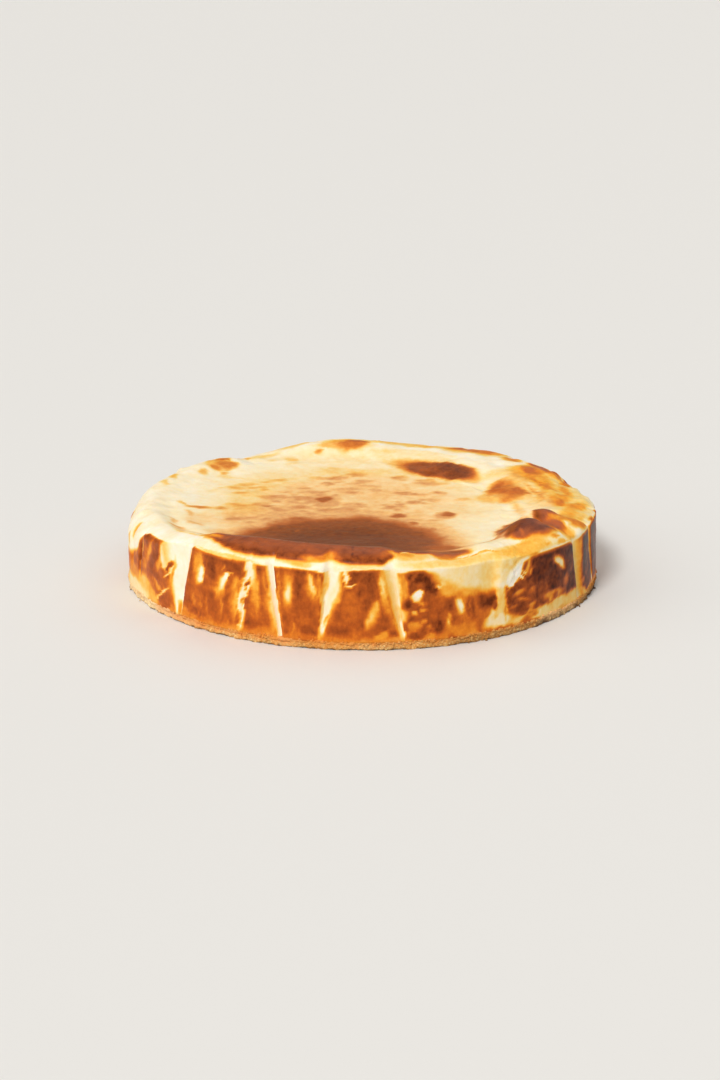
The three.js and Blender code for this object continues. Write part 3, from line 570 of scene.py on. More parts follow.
def wall_and_rim(columns):
    """The curd from its foot up the wall, over the shoulder and down the inner slope, as
    arrays of radius, angle, height and distance up the surface, row by column. The wall is
    straight, the shoulder a powered quarter of an ellipse, and the slope half a cosine."""
    wall_rows, shoulder_rows, slope_rows = CURD_ROWS
    top_angle = FIRST_COLUMN + 360.0 * np.arange(columns) / columns
    edge_height = around(WALL, top_angle, "height")
    share = np.linspace(0.0, 1.0, wall_rows)[:, None]
    height = blend(BASE_HEIGHT + SEAT_GAP, edge_height, share)
    angle = blend(foot_angles(top_angle), top_angle, height / FOLD_TOP)
    radius = TIN_RADIUS + blend(around(WALL, angle, "foot"), around(WALL, angle, "edge"), share)
    radius = radius - fold_depth(angle, height)

    crest = around(RIM, top_angle, "crest")
    crest_height = around(RIM, top_angle, "height")
    edge = TIN_RADIUS + around(WALL, top_angle, "edge")
    swing = np.linspace(0.0, np.pi / 2.0, shoulder_rows + 1)[1:, None]
    out = np.clip(np.cos(swing), 0.0, 1.0) ** SHOULDER_POWER
    shoulder_radius = blend(crest, edge, out)
    shoulder_height = blend(edge_height, crest_height, np.sin(swing) ** SHOULDER_POWER)
    fall = np.linspace(0.0, 1.0, slope_rows + 1)[1:, None]
    slope_radius = blend(crest, around(RIM, top_angle, "floor"), fall)
    slope_height = blend(FLOOR_HEIGHT, crest_height, (1.0 + np.cos(np.pi * fall)) / 2.0)

    # The folds run on over the shoulder and die out as they cut in and drop.
    top_radius = np.vstack([shoulder_radius, slope_radius])
    top_height = np.vstack([shoulder_height, slope_height])
    settle = ease(np.linspace(0.0, 1.0, len(top_radius) + 1)[1:, None])
    rim_angle = blend(angle[-1], top_angle, settle)
    cut = fold_depth(rim_angle, np.broadcast_to(edge_height, rim_angle.shape))
    cut = cut * ease(1.0 - (edge - top_radius) / FOLD_RUN)
    drop = FOLD_DROP * ease((edge - top_radius) / DROP_RUN)
    top_height = top_height + blister_height(rim_angle, top_radius) - drop * cut
    top_radius = top_radius - (1.0 - drop) * cut

    radius = np.vstack([radius, top_radius])
    height = np.vstack([height, top_height])
    angle = np.vstack([angle, rim_angle])
    step = np.hypot(*(np.diff(way[wall_rows - 1:], axis=0) for way in (radius, height)))
    up = np.vstack([height[:wall_rows], edge_height + np.cumsum(step, axis=0)])
    return radius, angle, height, up


def floor_patch(cells):
    """The sunken floor inside the last ring, on a square grid. A cell's distance from the
    square's middle gives its share of the radius, and its place along that square its
    angle, so the outermost cells fall on the ring. Returns angle and share of the radius."""
    side = np.linspace(-1.0, 1.0, cells + 1)
    across, along = np.meshgrid(side, side, indexing="ij")
    wide = np.abs(across) >= np.abs(along)
    share = np.where(wide, across, along)
    divisor = np.where(share == 0.0, 1.0, share)
    swing = np.where(wide, 45.0 * along / divisor, 90.0 - 45.0 * across / divisor)
    return turn(np.where(share < 0.0, swing + 180.0, swing)), np.abs(share)


def outward(radius, height):
    """The direction that faces out of a grid of outlines, in radius and height: each
    outline's own direction over three rows either way, turned a quarter."""
    row = np.arange(len(radius))
    ahead, behind = np.minimum(row + 3, len(radius) - 1), np.maximum(row - 3, 0)
    along_radius = radius[ahead] - radius[behind]
    along_height = height[ahead] - height[behind]
    length = np.maximum(np.hypot(along_radius, along_height), 1e-6)
    return along_height / length, -along_radius / length


def places(radius, angle, height):
    """Points in space from radius, angle and height."""
    turned = np.radians(angle)
    return np.stack([radius * np.cos(turned), radius * np.sin(turned), height], axis=-1)


# ---- painting the browning ----
def paint(levels, mask, level):
    """Moves the levels under a mask to a new level."""
    return levels + (level - levels) * mask


def paint_ovals(levels, marks, across_from, up_from):
    """Paints a table of oval marks. Each mask is 1 inside a turned oval and 0 outside it,
    soft over the given width."""
    for at, high, wide, tall, turned, level, soft in marks:
        swing = math.radians(turned)
        across, up = across_from(at), up_from(high)
        along = across * math.cos(swing) + up * math.sin(swing)
        aside = up * math.cos(swing) - across * math.sin(swing)
        reach = np.hypot(along / wide, aside / tall)
        edge = soft / min(wide, tall) / 2.0
        levels = paint(levels, 1.0 - ease((reach - 1.0 + edge) / (2.0 * edge)), level)
    return levels


def paint_wall(levels, marks, angle, up):
    """Paints marks that are placed by angle and by height up the surface."""
    return paint_ovals(
        levels, marks, lambda at: TIN_RADIUS * np.radians(turn(angle - at)), lambda high: up - high
    )


def paint_top(levels, marks, x, y):
    """Paints marks that are placed by x and y."""
    return paint_ovals(levels, marks, lambda left: x - left, lambda front: y - front)


def paint_folds(levels, angle, ragged, height):
    """Leaves the folds pale: sharp-edged on their crisp side, fading through gold into the
    brown on the other, and more golden on the shaded left flank, as painted shade.
    Returns the levels and the torn share."""
    torn = np.zeros(levels.shape)
    for fold in FOLDS:
        if fold.look == BROWN:
            continue
        side, across = fold_side(fold, ragged if fold.look == TORN else angle, height)
        fade = ease((height - fold.dies * 0.5) / 6.0)
        bottom = FOLD_LEAN * fold.crisp
        steep = (across - bottom) * fold.crisp > 0.0
        fringe = ease((1.45 - np.abs(across)) / 0.9) * np.where(steep, 0.0, 0.75) * fade
        levels = paint(levels, fringe, GOLD)
        bare = np.where(steep, ease(side / 0.30), ease((side - 0.02) / 0.42)) * fade
        # Painted shade: the shaded left flank turns golden; the lit right flank stays pale, except in
        # the turning look, where it turns golden to the right.
        shaded, lit = blend(0.30, 0.14, side), 0.03
        if fold.look == CREAM:
            shaded = 0.05
        elif fold.look == TURNING:
            shaded, lit = blend(0.22, 0.10, side), 0.15 + 0.24 * ease(across + 0.3)
        levels = paint(levels, bare, np.where(across > bottom, lit, shaded))
        if fold.look == TORN:
            torn = np.maximum(torn, bare)
    return levels, torn


def back_marks(generator):
    """Marks for the back of the wall: on each stretch a dark patch, and often a golden or
    pale streak, like those of the front, placed at random."""
    draw = generator.uniform
    marks = []
    for at in np.arange(-1.0, 186.0, 6.4):
        at = at + draw(-2.2, 2.2)
        lean = draw(-22, 22)
        marks.append((at, draw(26, 39), draw(3, 8), draw(2.5, 6), lean, draw(0.80, 0.92), 3.0))
        side = at + draw(-3.0, 3.0)
        high = draw(16, 34)
        wide = draw(1.0, 2.6)
        tall = wide * draw(1.4, 4.0)
        lean = draw(-28, 28)
        marks.append((side, high, wide * 1.9, tall * 1.5, lean, GOLD, 3.4))
        if draw() < 0.7:
            marks.append((side, high, wide, tall, lean, draw(0.04, 0.26), 2.2))
    return marks


def back_patches(levels, points, angle, up):
    """Ragged golden and dark patches on the back of the wall, thickest low down, and fainter
    ones under the wide pale hollow."""
    away = turn(angle - 92.0)
    behind = ease((away + 104.0) / 14.0) * ease((104.0 - away) / 14.0)
    hollow = ease((angle + 82.0) / 4.0) * ease((-60.0 - angle) / 4.0) * ease((24.0 - up) / 6.0)
    behind = np.maximum(behind, 0.75 * hollow)
    patch = noises(points, (1.0, (5.0, 5.0, 6.0), 51), (0.6, (2.2, 2.2, 3.0), 52))
    low = ease((22.0 - up) / 18.0)
    levels = paint(levels, behind * ease((patch - 0.55 + 0.55 * low) / 0.5) * 0.8, 0.36)
    return paint(levels, behind * ease((-0.35 - patch) / 0.5), 0.88)


def freckle_marks(count, generator):
    """Small soft freckles in loose groups, thickest in the middle of the top."""
    groups = generator.normal(size=(count // 5 + 1, 2)) * (40.0, 32.0) + (-6.0, 6.0)
    spread = groups[generator.integers(0, len(groups), count)]
    spread = spread + generator.normal(size=(count, 2)) * (8.0, 5.0)
    long = generator.uniform(1.2, 4.4, count)
    wide = long * generator.uniform(0.45, 0.9, count)
    turned = generator.uniform(-30.0, 30.0, count)
    level = generator.uniform(0.30, 0.43, count)
    return np.column_stack([spread, long, wide, turned, level, 1.8 + 0.7 * long])


def side_levels(points, angle, up, drift, rise, generator):
    """The levels of the wall, the shoulder and the outer rim, with the torn share and the
    sandy share at the foot. Soft blotches and streaks run up the wall, and the shoulder
    stays pale."""
    near = angle + np.degrees(drift / TIN_RADIUS)
    high = up + rise
    blotch = noises(points, (1.0, (3.4, 3.4, 5.0), 15), (0.6, (1.8, 1.8, 2.8), 16))
    streak = noise(points, (2.0, 2.0, 26.0), 17)
    stop, width = around(SKIN_EDGE, angle, "up"), around(SKIN_EDGE, angle, "soft")
    wall = around(WALL_LEVEL, angle, "level") + 0.075 * blotch + 0.03 * streak
    wall = wall + 0.08 * ease(1.0 - (stop - high) / 9.0)
    # Golden streaks 2 mm wide rise from the foot, between brown ones that reach down to it.
    finger = high + 7.0 * streak
    wall = paint(wall, 0.75 * ease((15.0 - high) / 7.0) * ease((streak - 0.12) / 0.3), 0.53)
    wall = paint(wall, 1.0 - ease((finger - 3.5) / 4.5), 0.565)
    # The foot turns orange and then sandy, down to a scalloped seam with the biscuit.
    seam = SEAM_HEIGHT + np.maximum(crumb_line(points), 0.0) - 1.3 * scallops(points)
    sandy = 1.0 - ease((high - seam) / 2.2)
    wall = paint(wall, ease((seam + 5.0 - high) / 3.5), ORANGE)
    wall = paint(wall, sandy, GOLD)
    wall = back_patches(wall, points, angle, high)
    wall = paint_wall(wall, back_marks(generator), near, high)
    wall = paint_wall(wall, WALL_MARKS, near, high)
    steady = angle + np.degrees(0.25 * drift / TIN_RADIUS)
    ragged = near + np.degrees(noise(points, 1.6, 21) / TIN_RADIUS)
    wall, torn = paint_folds(wall, steady, ragged, np.minimum(up, FOLD_TOP + 2.0))
    wall = paint_wall(wall, LATE_MARKS, near, high)
    # The skin ends through a narrow orange and gold fringe.
    above = up + 0.35 * rise
    fringe = ease((above - stop) / (width + 1.0) + 1.0) * ease((wall - 0.25) / 0.3)
    wall = paint(wall, 0.6 * fringe, 0.52)
    shoulder = 0.07 + 0.05 * noise(points, 9.0, 19) + 0.02 * noise(points, 3.0, 22)
    wall = paint(wall, ease((above - stop) / width + 0.5), shoulder)
    # The front roll begins through gold, and is darkest just above its edge.
    roll = around(ROLL_EDGE, angle, "up")
    wall = paint(wall, 0.6 * ease((above - roll) / 3.4 + 1.0), 0.44)
    wall = paint(wall, ease((above - roll) / 1.4 + 0.5), 0.79 + 0.05 * blotch)
    wall = paint(wall, 0.6 * np.exp(-((above - roll - 1.8) / 1.6) ** 2), 0.86)
    return paint_wall(wall, SHOULDER_MARKS, near, high), torn, sandy


def top_levels(points, x, y, looks, generator):
    """The levels inside the crest: clouds on pale curd, freckles where they lie, the dark
    patch, whose edge wanders more than those of the small marks, and then these."""
    top = 0.08 + 0.03 * noise(points, 14.0, 20)
    top = paint_top(top, CLOUDS, x, y)
    baked = ease((top - 0.06) / 0.12)
    uneven = noises(points, (0.6, 6.0, 23), (0.5, 3.0, 24))
    top = top + (0.03 + 0.3 * np.clip(top - 0.1, 0.0, 0.3)) * uneven
    top = blend(top, paint_top(top, freckle_marks(looks.freckles, generator), x, y), baked)
    far = noises(points, (1.0, 20.0, 37), (0.5, 9.0, 38))
    top = paint_top(top, DARK_PATCH, x + 2.5 * noise(points, 18.0, 39), y + 4.5 * far)
    return paint_top(top, TOP_MARKS, x, y)


def browning(points, angle, up, radius, looks):
    """The browning level over the curd and its torn, milky and glossy shares. The side and
    the top meet along the crest, the rim's marks lie over both, and every edge wavers."""
    generator = np.random.default_rng(looks.seed)
    drift = noises(points, (0.9, 7.0, 11), (0.6, 2.8, 12), (0.4, 1.3, 27))
    rise = noises(points, (0.9, 8.0, 13), (0.6, 2.8, 14), (0.4, 1.3, 28))
    side, torn, sandy = side_levels(points, angle, up, drift, rise, generator)
    x = points[..., 0] + 1.2 * drift + noise(points, 15.0, 25)
    y = points[..., 1] + 1.2 * rise + noise(points, 15.0, 26)
    top = top_levels(points, x, y, looks, generator)

    # On the left the pale rim runs into the pale top without an edge.
    soft = 4.0 + 10.0 * towards(angle, 165.0, 0.5, 0.35)
    inside = ease((around(RIM, angle, "crest") - radius) / soft + 0.5)
    levels = blend(side, top, inside)
    past = up - around(SKIN_EDGE, angle, "up")
    x = x + 0.9 * noise(points, 2.6, 29)
    y = y + 0.9 * noise(points, 2.6, 30)
    levels = blend(levels, paint_top(levels, RIM_MARKS, x, y), ease(past / 3.0))
    # The milk skin thins out towards the rim, but not over the dark patch, and the sandy
    # foot has a little of its paleness.
    thin = 0.6 * ease((radius - 50.0) / 15.0) * ease((points[..., 1] + 30.0) / 30.0)
    milky = np.maximum(inside * (1.0 - thin), 0.3 * sandy * (1.0 - inside))
    # The roll shines most, and after it the strip of the dark patch right behind it.
    strip = ease((-54.0 - points[..., 1]) / 14.0) * ease((50.0 - points[..., 0]) / 10.0)
    high_up = blend(ease((past - 6.0) / 6.0), 1.0, inside)
    gloss = ease((levels - 0.5) / 0.25) * high_up * blend(0.5, blend(0.14, 0.34, strip), inside)
    return levels, torn * (1.0 - inside), milky, gloss


def crumb_line(points):
    """How far above the seam the crumbs reach at places round the foot, in millimetres."""
    return noises(points, (0.9, 9.0, 47), (0.6, 3.0, 48))


def scallops(points):
    """Where the browned curd reaches down over the biscuit, above 0, or the crumb reaches up
    it, below 0: tongues about 5 mm wide."""
    return noise(points, (4.5, 4.5, 30.0), 54)


def biscuit_layers(points):
    """The biscuit's attributes, all of which vary round the cake: how far it has soaked up
    butter, which grows with height, how pale it is, partly as painted light, and how dark it
    is with toast and painted shade, most of all in spots along the lower edge, where the
    dark is partly a painted contact shadow."""
    angle = np.degrees(np.arctan2(points[:, 1], points[:, 0]))
    share = points[:, 2] / BASE_HEIGHT
    tone = around(BISCUIT, angle, "pale") + 0.15 * noise(points, 7.0, 49)
    soaked = share + around(BISCUIT, angle, "soaked") + 0.4 * scallops(points)
    # Toast and painted shade darken the shaded right and the lower edge.
    toasted = np.maximum(-tone, 0.0) * (1.0 - 0.6 * ease(share))
    spots = noise(points, (2.0, 2.0, 9.0), 55)
    reach = around(BISCUIT, angle, "edge") * np.clip(1.0 + 0.9 * spots, 0.3, 2.2)
    edge = np.clip(0.62 + 0.5 * spots, 0.0, 1.0) * (1.0 - ease(points[:, 2] / reach))
    return {"soaked": soaked, "pale": np.maximum(tone, 0.0), "toasted": np.maximum(toasted, edge)}


# ---- meshes ----
def mesh_object(name, points, faces, layers):
    """An object at the origin from points in millimetres, faces as lists of equal length,
    and one float attribute for each named layer."""
    mesh = bpy.data.meshes.new(name)
    mesh.vertices.add(len(points))
    mesh.vertices.foreach_set("co", (points / MM).astype(np.float32).ravel())
    corners = np.concatenate([face.ravel() for face in faces])
    sizes = np.concatenate([np.full(len(face), face.shape[1]) for face in faces])
    mesh.loops.add(len(corners))
    mesh.loops.foreach_set("vertex_index", corners.astype(np.int32))
    mesh.polygons.add(len(sizes))
    mesh.polygons.foreach_set("loop_start", (np.cumsum(sizes) - sizes).astype(np.int32))
    mesh.polygons.foreach_set("use_smooth", np.ones(len(sizes), bool))
    mesh.update(calc_edges=True)
    mesh.validate()
    for layer, values in layers.items():
        attribute = mesh.attributes.new(layer, "FLOAT", "POINT")
        attribute.data.foreach_set("value", values.astype(np.float32).ravel())
    piece = bpy.data.objects.new(name, mesh)
    bpy.context.scene.collection.objects.link(piece)
    return piece


def ring_faces(rows, columns):
    """Quads of a grid that closes on itself, facing out when rows go up and columns go
    round with growing angle."""
    here = np.arange((rows - 1) * columns).reshape(rows - 1, columns)
    beside = np.roll(here, -1, axis=1)
    return np.stack([here, beside, beside + columns, here + columns], axis=-1).reshape(-1, 4)


def fan(ring, centre, upward):
    """Triangles from a ring of points to a centre."""
    beside = np.roll(ring, -1)
    middle = np.full(len(ring), centre)
    order = (ring, beside, middle) if upward else (beside, ring, middle)
    return np.stack(order, axis=-1)


def end_fans(rows, columns):
    """The fans that close a ring of outlines below and above, to the two points that follow
    the grid's own."""
    first = np.arange(columns)
    low, high = rows * columns, rows * columns + 1
    return np.vstack([
        fan(first, low, upward=False), fan(first + (rows - 1) * columns, high, upward=True),
    ])


def keep_in_box(points, node=None):
    """Holds points inside a CAD node's box, or the whole part's where no node is named."""
    low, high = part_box(node) if node else CAD_BOX
    return np.clip(points, np.array(low) * MM, np.array(high) * MM)


def build_curd(looks):
    """The curd as one closed surface: the wall and rim are a ring of outlines, the floor a
    square grid inside their last ring, and the underside a fan."""
    cells = looks.curd_side
    columns = 4 * cells
    radius, angle, height, up = wall_and_rim(columns)
    rings = len(radius)

    patch_angle, share = floor_patch(cells)
    patch_radius = around(RIM, patch_angle, "floor") * share
    patch_height = FLOOR_HEIGHT - FLOOR_SAG * (1.0 - share**2)
    patch_height = patch_height + blister_height(patch_angle, patch_radius)
    inner = (slice(1, -1), slice(1, -1))

    # The patch's border is the ring's last row, taken in the order of the square's sides.
    order = np.zeros((cells + 1, cells + 1), int)
    border = (rings - 1) * columns + np.arange(columns)
    order[:-1, 0] = border[:cells]
    order[-1, :-1] = border[cells:2 * cells]
    order[:0:-1, -1] = border[2 * cells:3 * cells]
    order[0, :0:-1] = border[3 * cells:]
    order[inner] = rings * columns + np.arange((cells - 1) ** 2).reshape(cells - 1, cells - 1)
    patch_faces = np.stack(
        [order[:-1, :-1], order[1:, :-1], order[1:, 1:], order[:-1, 1:]], axis=-1
    ).reshape(-1, 4)

    # The ring's points come first, and then the patch's inner ones, which face straight up.
    out_radius, out_height = outward(radius, height)
    none = np.zeros(share.shape)
    radius, angle, height, up, out_radius, out_height = (
        np.concatenate([ring.ravel(), patch[inner].ravel()]) for ring, patch in (
            (radius, patch_radius), (angle, patch_angle), (height, patch_height),
            (up, none + FLOOR_UP), (out_radius, none), (out_height, none + 1.0),
        )
    )
    points = places(radius, angle, height)
    levels, torn, milky, gloss = browning(points, angle, up, radius, looks)

    lift = skin_relief(points, angle, up, levels, torn, milky) * looks.relief
    # The relief dies out at the foot, where the curd meets the biscuit.
    lift = lift * ease((height - BASE_HEIGHT) / 3.0)
    points = places(radius + lift * out_radius, angle, height + lift * out_height)
    points = np.vstack([points, (0.0, 0.0, BASE_HEIGHT + SEAT_GAP)])
    points = keep_in_box(points, "cheesecake")
    faces = [
        np.vstack([ring_faces(rings, columns), patch_faces]),
        fan(np.arange(columns), len(points) - 1, upward=False),
    ]
    layers = {"browning": levels, "torn": torn, "milky": milky, "gloss": gloss}
    layers = {name: np.append(values, 0.0) for name, values in layers.items()}
    return mesh_object("baked_curd", points, faces, layers)


def skin_relief(points, angle, up, levels, torn, milky):
    """How far the skin stands out, in millimetres: soft lumps everywhere, fine wrinkles
    where it is dark, deeper on the leathery front roll, a rough crumb where it is torn, a
    step where brown skin meets the pale shoulder, and a valley along the roll's edge."""
    lumps = noises(points, (0.30, 11.0, 31), (0.16, 4.5, 32))
    # The right-hand rim is the lumpiest, and the far left comes next.
    right = towards(angle, 15.0, 0.5, 0.4) * ease((up - 42.0) / 6.0)
    left = towards(angle, 160.0, 0.6, 0.3) * ease((up - 36.0) / 5.0)
    rough = np.maximum(right, 0.6 * left) * (up < FLOOR_UP)
    lumps = lumps + noises(points, (0.75, 7.0, 35), (0.3, 3.2, 36)) * rough
    dark = ease((levels - 0.45) / 0.3)
    crumb = 0.55 * noise(points, 1.7, 34) * torn
    skin = 0.35 * dark * (1.0 - milky)
    roll = around(ROLL_EDGE, angle, "up")
    leather = ease((up - roll) / 2.0) * (1.0 - milky)
    wrinkles = (0.10 + 0.12 * leather) * noise(points, 1.7, 33) * dark
    valley = -0.5 * np.exp(-((up - roll) / 1.3) ** 2) * (1.0 - milky)
    return lumps - 0.40 + wrinkles + crumb + skin + valley


def build_base():
    """The biscuit layer as one closed ring of outlines with a fan below and above. Its side
    is pitted and lumpy, and its lowest rows turn in unevenly, as the foot crumbles away."""
    share = np.linspace(0.0, 1.0, BASE_ROWS)[:, None]
    height, angle = np.broadcast_arrays(share * BASE_HEIGHT, FOOT_TURNS)
    radius = TIN_RADIUS + around(WALL, angle, "foot") - BASE_INSET
    points = places(radius, angle, height)
    crumb = noises(points, (1.0, 1.7, 41), (0.5, 0.8, 42), (0.6, 5.0, 43))
    radius = radius + 0.1 + 0.7 * np.clip(crumb, -1.8, 0.45)
    tuck = 0.6 + 0.8 * noise(points, 3.0, 53)
    radius = radius - tuck * (1.0 - ease(share / 0.22))
    points = places(radius, angle, height).reshape(-1, 3)
    points = np.vstack([points, (0.0, 0.0, 0.0), (0.0, 0.0, BASE_HEIGHT)])
    points = keep_in_box(points, "biscuit_base")
    columns = len(FOOT_TURNS)
    faces = [ring_faces(BASE_ROWS, columns), end_fans(BASE_ROWS, columns)]
    return mesh_object("pressed_biscuit", points, faces, biscuit_layers(points))


def build_crumbs(looks):
    """Loose crumbs round the foot and the bead of them in the seam, joined in one mesh. Each
    loose one is a ball of eight by five cells, squashed and roughened at random."""
    generator = np.random.default_rng(looks.seed + 1)
    turns = np.linspace(0.0, 2.0 * np.pi, CRUMB_TURNS, endpoint=False)
    tilts = np.linspace(-np.pi / 2.0, np.pi / 2.0, CRUMB_TILTS + 1)[1:-1]
    ball = np.stack([
        np.outer(np.cos(tilts), np.cos(turns)), np.outer(np.cos(tilts), np.sin(turns)),
        np.outer(np.sin(tilts), np.ones(CRUMB_TURNS)),
    ], axis=-1).reshape(-1, 3)
    ball = np.vstack([ball, (0.0, 0.0, -1.0), (0.0, 0.0, 1.0)])

    # Most of them cling to the side of the base and along its seam with the curd, and the
    # rest lie on the floor.
    count = looks.crumbs
    angle = generator.uniform(-180.0, 180.0, count)
    size = generator.uniform(0.3, 0.9, (count, 3)) * (1.0, 1.0, 0.8)
    foot = TIN_RADIUS + around(WALL, angle, "foot") - BASE_INSET
    clings = generator.uniform(size=count) < CLING_SHARE
    near, strewn = generator.uniform(-0.3, 0.35, count), generator.exponential(0.4, count)
    out = foot + np.where(clings, near, strewn)
    seam = np.abs(generator.normal(0.0, 1.1, count))
    seam = seam - crumb_line(places(foot, angle, np.full(count, BASE_HEIGHT)))
    high = np.where(clings, np.clip(SEAM_HEIGHT + 0.5 - seam, *CLING_HEIGHTS), size[:, 2] * 0.9)
    out = out + 0.4 * (high > BASE_HEIGHT + SEAT_GAP)
    rough = generator.uniform(0.75, 1.15, (count, len(ball), 1))
    points = ball[None] * size[:, None] * rough + places(out, angle, high)[:, None]

    shift = (np.arange(count) * len(ball))[:, None, None]
    rings = CRUMB_TILTS - 1
    bead, bead_faces = seam_bead()
    faces = [
        np.vstack([
            (ring_faces(rings, CRUMB_TURNS)[None] + shift).reshape(-1, 4),
            bead_faces + count * len(ball),
        ]),
        (end_fans(rings, CRUMB_TURNS)[None] + shift).reshape(-1, 3),
    ]
    points = keep_in_box(np.vstack([points.reshape(-1, 3), bead]))
    return mesh_object("loose_crumbs", points, faces, biscuit_layers(points))


def seam_bead():
    """A rough bead of crumbs that fills the seam between base and curd: a ring round the
    cake whose section is a circle of uneven size, with eight points. Returns its points
    and faces."""
    swing = np.linspace(0.0, 2.0 * np.pi, BEAD_ROWS, endpoint=False)[None, :]
    angle = np.broadcast_to(FOOT_TURNS[:, None], (len(FOOT_TURNS), BEAD_ROWS))
    middle = TIN_RADIUS + around(WALL, angle, "foot") - BEAD_INSET
    spine = places(middle, angle, np.full(angle.shape, BASE_HEIGHT))
    size = 0.75 + 0.35 * noise(spine, 4.0, 44)
    centre = BASE_HEIGHT + 0.1 + 0.4 * crumb_line(spine)
    out, rise = np.cos(swing), np.sin(swing)
    points = places(middle + size * out, angle, centre + size * rise)
    size = size + 0.5 * noise(points, 1.7, 45) + 0.3 * noise(points, 0.8, 46)
    points = places(middle + size * out, angle, centre + size * rise)
    here = np.arange(angle.size).reshape(angle.shape)
    ahead, beside = np.roll(here, -1, axis=0), np.roll(here, -1, axis=1)
    faces = np.stack([here, ahead, np.roll(ahead, -1, axis=1), beside], axis=-1)
    return points.reshape(-1, 3), faces.reshape(-1, 4)


# ---- materials ----
def linear(hex_colour):
    """An sRGB hex colour as linear red, green, blue and full alpha."""
    channels = [int(hex_colour[i:i + 2], 16) / 255.0 for i in (1, 3, 5)]
    bent = [c / 12.92 if c <= 0.04045 else ((c + 0.055) / 1.055) ** 2.4 for c in channels]
    return (*bent, 1.0)


def add(tree, kind, **settings):
    """Adds a shader node and returns its outputs. Each setting names a property or an input,
    with _ for a space, or an input's number after i_. An input takes a value, or a link
    where the value is another node's output. A ramp's stops are positions and colours."""
    node = tree.nodes.new("ShaderNode" + kind)
    for name, value in settings.items():
        if name.startswith("i_"):
            socket = node.inputs[int(name[2:])]
        else:
            socket = node.inputs.get(name.replace("_", " "))
        if name == "stops":
            elements = node.color_ramp.elements
            while len(elements) < len(value):
                elements.new(0.5)
            for element, (position, colour) in zip(elements, value):
                element.position = position
                element.color = colour
        elif socket is None:
            setattr(node, name, value)
        elif isinstance(value, bpy.types.NodeSocket):
            tree.links.new(value, socket)
        else:
            socket.default_value = value
    return node.outputs


def new_material(name):
    """An empty node material and its tree."""
    material = bpy.data.materials.new(name)
    material.use_nodes = True
    material.node_tree.nodes.clear()
    return material, material.node_tree


# Caramelised milk and sugar, between pale curd and nearly burnt.
CARAMEL = [
    (0.08, "#fdedcb"), (0.2, "#fbd888"), (0.3, "#fabf50"), (0.4, "#f5a331"), (0.5, "#e58624"),
    (0.6, "#cf6b1f"), (0.7, "#b7581c"), (0.8, "#9a4919"), (0.88, "#76320c"), (0.95, "#521d03"),
]
# The same where a thin skin of dried milk lies over it, as on the sunken top.
MILKY = [
    (0, "#fdf3da"), (0.1, "#fde8ba"), (0.2, "#fcd497"), (0.28, "#f7c079"), (0.36, "#e6a566"),
    (0.44, "#d58a4c"), (0.54, "#c36e34"), (0.66, "#af5b1f"), (0.8, "#88440f"), (0.9, "#69320c"),
    (1, "#49240f"),
]


def shades(stops):
    """The stops of a ramp with their hex colours turned to linear."""
    return [(position, linear(colour)) for position, colour in stops]


